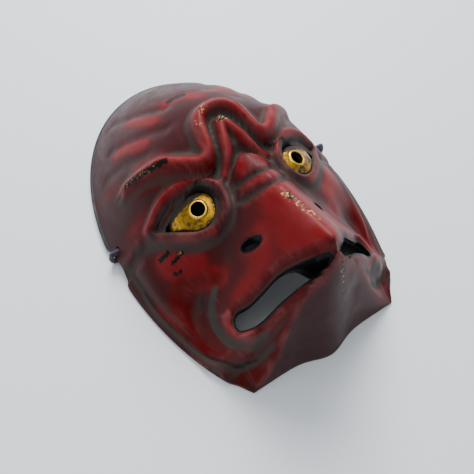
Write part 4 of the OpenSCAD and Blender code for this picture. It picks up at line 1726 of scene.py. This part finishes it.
@dataclass
class EyePlate:
    """One gilt eye plate, beaten over a ball, with a raised ring round its pupil bore."""

    side: Side
    steps: int = 120

    def build(self, material: bpy.types.Material) -> bpy.types.Object:
        """Beats and gilds the plate.

        Args:
            material: Its gold leaf.

        Returns:
            The piece.
        """
        e = EYE
        sight = np.array(e.sight())
        top = np.array([e.x, e.y, e.top_z()])
        centre = top - e.ball_r * sight
        side_a = np.cross(sight, [0, 1, 0])
        side_a /= np.linalg.norm(side_a)
        side_b = np.cross(sight, side_a)
        edge = e.plan(0.0, 200)
        turns = np.unwrap(np.arctan2(edge[:, 1] - e.y, edge[:, 0] - e.x))
        order = np.argsort(turns % (2 * math.pi))
        turn_to = (turns % (2 * math.pi))[order]

        def on_ball(plan: Array, depth: float) -> Array:
            """Puts plan points on the ball at a depth below its skin.

            Args:
                plan: Plan points, mm.
                depth: How far below the skin, mm.

            Returns:
                Points, mm.
            """
            r = e.ball_r - depth
            rest = r * r - (plan[:, 0] - centre[0]) ** 2 - (plan[:, 1] - centre[1]) ** 2
            return np.stack([plan[:, 0], plan[:, 1], centre[2] + np.sqrt(np.maximum(rest, 0))], -1)

        stations = [("bore", -1.25), ("bore", -0.5), ("bore", 0.2), ("ring", 0.06), ("ring", 0.25), ("ring", 0.5),
                    ("ring", 0.78), ("ring", 1.0)] + [("top", s) for s in (0.06, 0.15, 0.3, 0.45, 0.6, 0.75, 0.88, 0.96, 1.0)]
        stations += [("low", s) for s in (1.0, 0.9, 0.6, 0.3, 0.0)]
        rows = len(stations)

        def shape(u: Array, v: Array) -> Array:
            """Puts each grid point on the plate.

            Args:
                u: Places round or along, 0 to 1.
                v: Places across, 0 to 1.

            Returns:
                Points in metres.
            """
            a = 2 * math.pi * u
            around = np.cos(a)[:, None] * side_a + np.sin(a)[:, None] * side_b
            plan_turn = np.arctan2(around[:, 1], around[:, 0]) % (2 * math.pi)
            far = np.stack([np.interp(plan_turn, turn_to, edge[order, k],
                                      period=2 * math.pi) for k in (0, 1)], -1)
            number = np.rint(v * rows).astype(int) % rows
            out = np.zeros((len(u), 3))
            ring_r = e.pupil_r + e.rim
            for n, (kind, s) in enumerate(stations):
                pick = number == n
                if kind == "bore":
                    out[pick] = top + e.pupil_r * around[pick] + (s * e.plate_t if s < 0 else s) * sight
                elif kind == "ring":
                    r = e.pupil_r + s * e.rim
                    rise = e.lip * math.sin(math.pi * min(1.0, 0.25 + 0.75 * s)) ** 0.7 if s < 1 else 0.0
                    skin = math.sqrt(e.ball_r**2 - r * r) - e.ball_r
                    out[pick] = top + r * around[pick] + (skin + rise) * sight
                else:
                    start = (top + ring_r * around[pick])[:, :2]
                    plan = start + s * (far[pick] - start)
                    out[pick] = on_ball(plan, 0.0 if kind == "top" else e.plate_t)
                    if kind == "low" and s == 0.0:
                        out[pick] = top + (e.pupil_r + 0.3) * around[pick] - 1.3 * e.plate_t * sight
            return CARVING.to_frame(out)

        bm = mapped_grid(self.steps, rows, shape, around=True, along=True)
        layer = bm.verts.layers.float_color.new("paint")
        middle = Vector(CARVING.to_frame(top))
        look = Vector(sight)
        for vert in bm.verts:
            arm = vert.co - middle
            out = (arm - look * arm.dot(look)).length / MM
            along = arm.dot(look) / MM
            ring = 0.8 * math.exp(-(((out - e.pupil_r - 0.5) / 0.5) ** 2))
            inside = 1.0 if out < e.pupil_r + 0.05 and along < 0.15 else 0.0
            # painted shade: the strip under the upper lid, and more lightly the plate's lower and outer edges
            low = 0.45 if arm.y > 0.0052 else 0.2 if arm.y < -0.004 or out > 7.4 else 0.0
            vert[layer] = (ring, low, inside, 1.0)
        if self.side is Side.LEFT:
            bmesh.ops.scale(bm, vec=(-1, 1, 1), verts=bm.verts)
        name = f"{self.side.value}_eye_plate"
        return seated_piece(finished(f"{name}_gilt", bm, material, sharp=50), "gilt", name)


# ---- Cord ----

LEAD = ((57.5, 8.6, 4.5), (54.5, 11.5, 2.4), (51, 15.5, 1.6), (46.5, 19, 1.5), (41, 21.3, 1.5), (35, 22.6, 1.5),
        (29, 23.1, 1.5), (23, 23, 1.5), (17, 22.8, 1.5), (12, 22.6, 1.5))


@dataclass
class TieCord:
    """The silk cord: from the left knot, round a flat coil under the forehead, to the right knot."""

    diameter: float = 3.0
    coil_y: float = 44.0
    coil_r: float = 21.0
    turns: float = 3.75
    floor: float = 2.1
    points_a_turn: int = 32
    knot: tuple[float, float, float] = (60.0, 7.0, 6.0)

    def route(self) -> Array:
        """Gives the cord's middle line in drawing mm.

        Returns:
            Points, mm.
        """
        left = [(-x, y, z) for x, y, z in LEAD]
        join = [(-7, 22.8, 1.9), (-3, 23, self.floor)]
        coil = []
        for n in range(int(self.turns * self.points_a_turn) + 1):
            s = n / self.points_a_turn
            a = math.radians(-90 + 360 * s)
            r = self.coil_r - self.diameter * s
            coil.append((r * math.cos(a), self.coil_y + r * math.sin(a), self.floor))
        x, y, _ = coil[-1]
        over = [(x + 0.6, y - 4, 3.0), (x + 2.4, y - 8, 4.6), (-3.6, 31, 5.3), (0.5, 27.4, 5.4), (4.5, 25, 5.4),
                (8.6, 23.6, 4.8), (12, 22.9, 3.5), (15.5, 22.8, 2.2)]
        right = [p for p in reversed(LEAD) if p[0] > 18]
        return np.array(left + join + coil + over + right)

    def build(self, material: bpy.types.Material) -> bpy.types.Object:
        """Args:
            material: Its silk.

        Returns:
            The piece.
        """
        path = CARVING.to_frame(smooth_line(self.route(), 3))
        length = float(np.linalg.norm(np.diff(path, axis=0), axis=1).sum())
        bm = sweep(path, self.diameter / 2 * MM, 10)
        cord = seated_piece(finished("tie_cord", bm, material, sharp=80),
                            "silk_cord", "cord_lead_left", "cord_coil", "cord_lead_right")
        binding = self.binding(material)
        LOG.info("tie_cord is %.3f m long", length)
        return cord

    def binding(self, material: bpy.types.Material) -> bpy.types.Object:
        """Winds the thread that holds the coil together at its top.

        Args:
            material: The piece's finish.

        Returns:
            The piece.
        """
        inner, outer, thread, turns = 8.6, 22.7, 0.5, 9
        middle, half = (inner + outer) / 2, (outer - inner) / 2
        points = []
        for n in range(turns * 24 + 1):
            a = 2 * math.pi * n / 24
            c, s = math.cos(a), math.sin(a)
            y = self.coil_y + middle + half * math.copysign(abs(c) ** 0.35, c)
            z = self.floor + 1.75 * math.copysign(abs(s) ** 0.6, s)
            points.append((-2.2 + 4.4 * n / (turns * 24), y, z))
        bm = sweep(CARVING.to_frame(np.array(points)), thread / 2 * MM, 6, across=(1, 0, 0))
        return seated_piece(finished("coil_binding", bm, material, sharp=80), "silk_cord", "coil_tie")


@dataclass
class TieLoop:
    """The loop of cord through one ear hole, over the rim and back under it to its knot."""

    side: Side
    radius: float = 1.5

    def build(self, material: bpy.types.Material) -> bpy.types.Object:
        """Ties the loop and its knot.

        Args:
            material: Its silk.

        Returns:
            The piece.
        """
        c = CARVING
        out, low, knot_x = c.half_w + self.radius - 0.2, self.radius + 0.3, c.half_w - c.wall - 9
        line = [(knot_x + 1, 8.0), (knot_x + 3, 9.9), (knot_x + 6, c.ear_z), (c.half_w - 4, c.ear_z), (c.half_w, c.ear_z),
                (out - 0.8, c.ear_z - 1.4), (out, c.ear_z - 4), (out - 0.4, low + 1.6), (out - 2, low), (c.half_w - 3, low),
                (knot_x + 5, low), (knot_x + 2.4, low + 0.8), (knot_x + 1, 4.5)]
        flat = smooth_line(line, 6, closed=True)
        path = np.stack([flat[:, 0], np.full(len(flat), c.ear_y), flat[:, 1]], -1)
        bm = sweep(CARVING.to_frame(path), self.radius * MM, 12, closed=True, across=(0, 1, 0))
        t = np.arange(0, 2 * math.pi, 2 * math.pi / 72)
        knot = np.stack([
            knot_x + 0.62 * (np.sin(t) + 2 * np.sin(2 * t)),
            c.ear_y - 0.75 * np.sin(3 * t),
            6.0 + 0.62 * (np.cos(t) - 2 * np.cos(2 * t)),
        ], -1)
        tied = sweep(CARVING.to_frame(knot), 1.15 * MM, 10, closed=True, across=(0.3, 1, 0.2))
        mesh = bpy.data.meshes.new("knot")
        tied.to_mesh(mesh)
        tied.free()
        bm.from_mesh(mesh)
        bpy.data.meshes.remove(mesh)
        if self.side is Side.LEFT:
            bmesh.ops.scale(bm, vec=(-1, 1, 1), verts=bm.verts)
        name = f"{self.side.value}_tie_loop"
        return seated_piece(finished(f"{name}_silk", bm, material, sharp=80), "silk_cord", name)


# ---- Pads ----


@dataclass
class WearingPad:
    """A small stuffed pad glued under the lining."""

    name: str
    centre: tuple[float, float]
    half: tuple[float, float]
    thick: float = 9.0
    edge: float = 1.0
    cols: int = 36
    rows: int = 24
    voxel: float = 1.4
    reach: float = 0.7
    pressure: float = 4.0
    glue: float = 2.0
    last_frame: int = 20

    def build(self, material: bpy.types.Material) -> bpy.types.Object:
        """Stuffs the pad.

        Args:
            material: Its cotton.

        Returns:
            The piece.
        """
        c = CARVING

        def shape(u: Array, v: Array) -> Array:
            """Puts each grid point on the pad: the top half of v is its face, the rest its back.

            Args:
                u: Places round or along, 0 to 1.
                v: Places across, 0 to 1.

            Returns:
                Points in metres.
            """
            back = v <= 0.5
            s = 2 * u - 1
            t = np.where(back, 4 * v - 1, 3 - 4 * v)
            x = self.centre[0] + self.half[0] * s * np.sqrt(1 - 0.4 * t * t)
            y = self.centre[1] + self.half[1] * t * np.sqrt(1 - 0.4 * s * s)
            rise = np.sqrt(np.maximum(0, (1 - s**4) * (1 - t**4)))
            top = c.under_z(x, y, c.lin_k2, 2 * c.fit_gap + c.lining_t)
            z = np.where(back, top, top - self.edge - (self.thick - self.edge) * rise)
            return c.to_frame(np.stack([x, y, z], -1))

        bm = mapped_grid(self.cols, 2 * self.rows, shape, along=True)
        bmesh.ops.holes_fill(bm, edges=[e for e in bm.edges if e.is_boundary], sides=0)
        obj = finished(f"{self.name}_cotton", bm, material, sharp=80)
        self.stuff(obj)
        seated_piece(obj, "pad_cloth", self.name)
        return obj

    def stuff(self, obj: bpy.types.Object) -> None:
        """Fills the cover out under pressure, its glued side held fast, and keeps the change small.

        Args:
            obj: The sewn cover, whose mesh is replaced.
        """
        scene = bpy.context.scene
        remesh = obj.modifiers.new("even", "REMESH")
        remesh.mode, remesh.voxel_size = "VOXEL", self.voxel * MM
        self.take(obj)
        rest = np.array([v.co[:] for v in obj.data.vertices])
        plan = rest / MM - [0, CARVING.seat_y, 0]
        top = CARVING.under_z(plan[:, 0], plan[:, 1], CARVING.lin_k2, 2 * CARVING.fit_gap + CARVING.lining_t)
        held = obj.vertex_groups.new(name="glued")
        held.add([int(i) for i in np.nonzero(plan[:, 2] > top - self.glue)[0]], 1.0, "REPLACE")
        cloth = obj.modifiers.new("stuffing", "CLOTH")
        cloth.settings.quality, cloth.settings.mass = 6, 0.02
        cloth.settings.use_pressure, cloth.settings.uniform_pressure_force = True, self.pressure
        cloth.settings.vertex_group_mass = held.name
        cloth.settings.effector_weights.gravity = 0
        cloth.point_cache.frame_start, cloth.point_cache.frame_end = 1, self.last_frame
        for frame_number in range(1, self.last_frame + 1):
            scene.frame_set(frame_number)
        self.take(obj)
        scene.frame_set(1)
        puffed = np.array([v.co[:] for v in obj.data.vertices])
        step = puffed - rest
        far = np.maximum(np.linalg.norm(step, axis=1, keepdims=True), 1e-9)
        kept = rest + step * np.minimum(1, self.reach * MM / far)
        kept[:, 2] = np.clip(kept[:, 2], 0.0002, np.maximum(rest[:, 2], top * MM))
        obj.data.vertices.foreach_set("co", kept.astype(np.float32).ravel())
        smooth = obj.modifiers.new("smooth", "SUBSURF")
        smooth.levels = smooth.render_levels = 1
        self.take(obj)
        obj.vertex_groups.clear()
        for face in obj.data.polygons:
            face.use_smooth = True

    @staticmethod
    def take(obj: bpy.types.Object) -> None:
        """Makes the shape shown by the modifiers the mesh itself.

        Args:
            obj: The piece, left with no modifiers.
        """
        mesh = bpy.data.meshes.new_from_object(obj.evaluated_get(bpy.context.evaluated_depsgraph_get()))
        obj.modifiers.clear()
        obj.data = mesh


# ---- Stage ----


@dataclass
class Studio:
    """Pale table, soft light and the camera."""

    azimuth: float = -35.3
    elevation: float = 61.8
    distance: float = 291.5
    target: tuple[float, float, float] = (-10.7, -25.1, 19.4)
    roll: float = 3.07
    lens: float = 38.92

    def camera(self) -> bpy.types.Object:
        """Sets up the camera.

        Returns:
            The camera, which is made the scene's own.
        """
        a, e, r = (math.radians(v) for v in (self.azimuth, self.elevation, self.roll))
        back = Vector((math.sin(a) * math.cos(e), -math.cos(a) * math.cos(e), math.sin(e)))
        right = (-back).cross(Vector((0, 0, 1))).normalized()
        up = right.cross(-back)
        across = right * math.cos(r) + up * math.sin(r)
        upward = up * math.cos(r) - right * math.sin(r)
        data = bpy.data.cameras.new("camera")
        data.lens, data.sensor_width = self.lens, 36.0
        data.clip_start, data.clip_end = 0.01, 20.0
        camera = bpy.data.objects.new("camera", data)
        bpy.context.scene.collection.objects.link(camera)
        camera.matrix_world = Matrix((across, upward, back)).transposed().to_4x4()
        camera.location = Vector(CARVING.to_frame(self.target)) + back * self.distance * MM
        bpy.context.scene.camera = camera
        return camera

    def table(self, finish: TableFinish) -> bpy.types.Object:
        """Lays the table under the mask.

        Args:
            finish: The table's finish.

        Returns:
            The piece.
        """
        bm = bmesh.new()
        bmesh.ops.create_grid(bm, x_segments=8, y_segments=8, size=3.0)
        table = finished("table_top", bm, finish.make())
        return table

    def lamp(self, name: str, place: Sequence[float], aim: Sequence[float], size: float, power: float,
             colour: Colour = (1, 1, 1)) -> None:
        """Hangs one soft square lamp.

        Args:
            name: The lamp's name.
            place: Where it hangs, in metres.
            aim: What it points at.
            size: Its width.
            power: Its power in watts.
            colour: Its colour.
        """
        data = bpy.data.lights.new(name, "AREA")
        data.size, data.energy, data.color = size, power, colour
        lamp = bpy.data.objects.new(name, data)
        bpy.context.scene.collection.objects.link(lamp)
        lamp.location = place
        lamp.rotation_euler = (Vector(aim) - Vector(place)).to_track_quat("-Z", "Y").to_euler()

    def light(self) -> None:
        """Lights the table softly from above."""
        world = bpy.data.worlds.new("room")
        world.use_nodes = True
        world.node_tree.nodes["Background"].inputs["Color"].default_value = (0.80, 0.86, 0.95, 1)
        world.node_tree.nodes["Background"].inputs["Strength"].default_value = 0.6
        bpy.context.scene.world = world
        self.lamp("window", (0.5, 0.9, 1.1), (0, 0, 0.03), 0.8, 50, (0.96, 0.98, 1.0))
        self.lamp("ceiling", (-0.2, 0.1, 1.6), (0, 0, 0.0), 1.4, 16, (1.0, 0.99, 0.97))


def dress_node(name: str, material: bpy.types.Material) -> None:
    """Gives a node that keeps its shape a better finish.

    Args:
        name: The node.
        material: The finish for all of its slots.
    """
    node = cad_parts[name]
    for slot in node.material_slots:
        slot.material = material
    LOG.info("%s: kept, %s", name, material.name)


def main() -> None:
    """Builds every sub-assembly in order."""
    logging.basicConfig(level=logging.INFO, format="%(name)s: %(message)s")
    studio = Studio()
    studio.camera()
    silk = SilkFinish().make()
    TieCord().build(silk)
    TieLoop(Side.LEFT).build(silk)
    TieLoop(Side.RIGHT).build(silk)
    FaceShell().build(LacquerFinish())
    RimBand().build(BlackFinish())
    Lining().build(LiningFinish())
    gilt = GiltFinish().make()
    EyePlate(Side.LEFT).build(gilt)
    EyePlate(Side.RIGHT).build(gilt)
    putty = PuttyFinish().make()
    dress_node("left_eye_bedding", putty)
    dress_node("right_eye_bedding", putty)
    cotton = ClothFinish().make()
    WearingPad("forehead_pad", (0, 81.9), (24, 8)).build(cotton)
    WearingPad("right_cheek_pad", (46.0, -40), (7, 14)).build(cotton)
    WearingPad("left_cheek_pad", (-46.0, -40), (7, 14)).build(cotton)
    studio.table(TableFinish())
    studio.light()


if __name__ == "__main__":
    main()
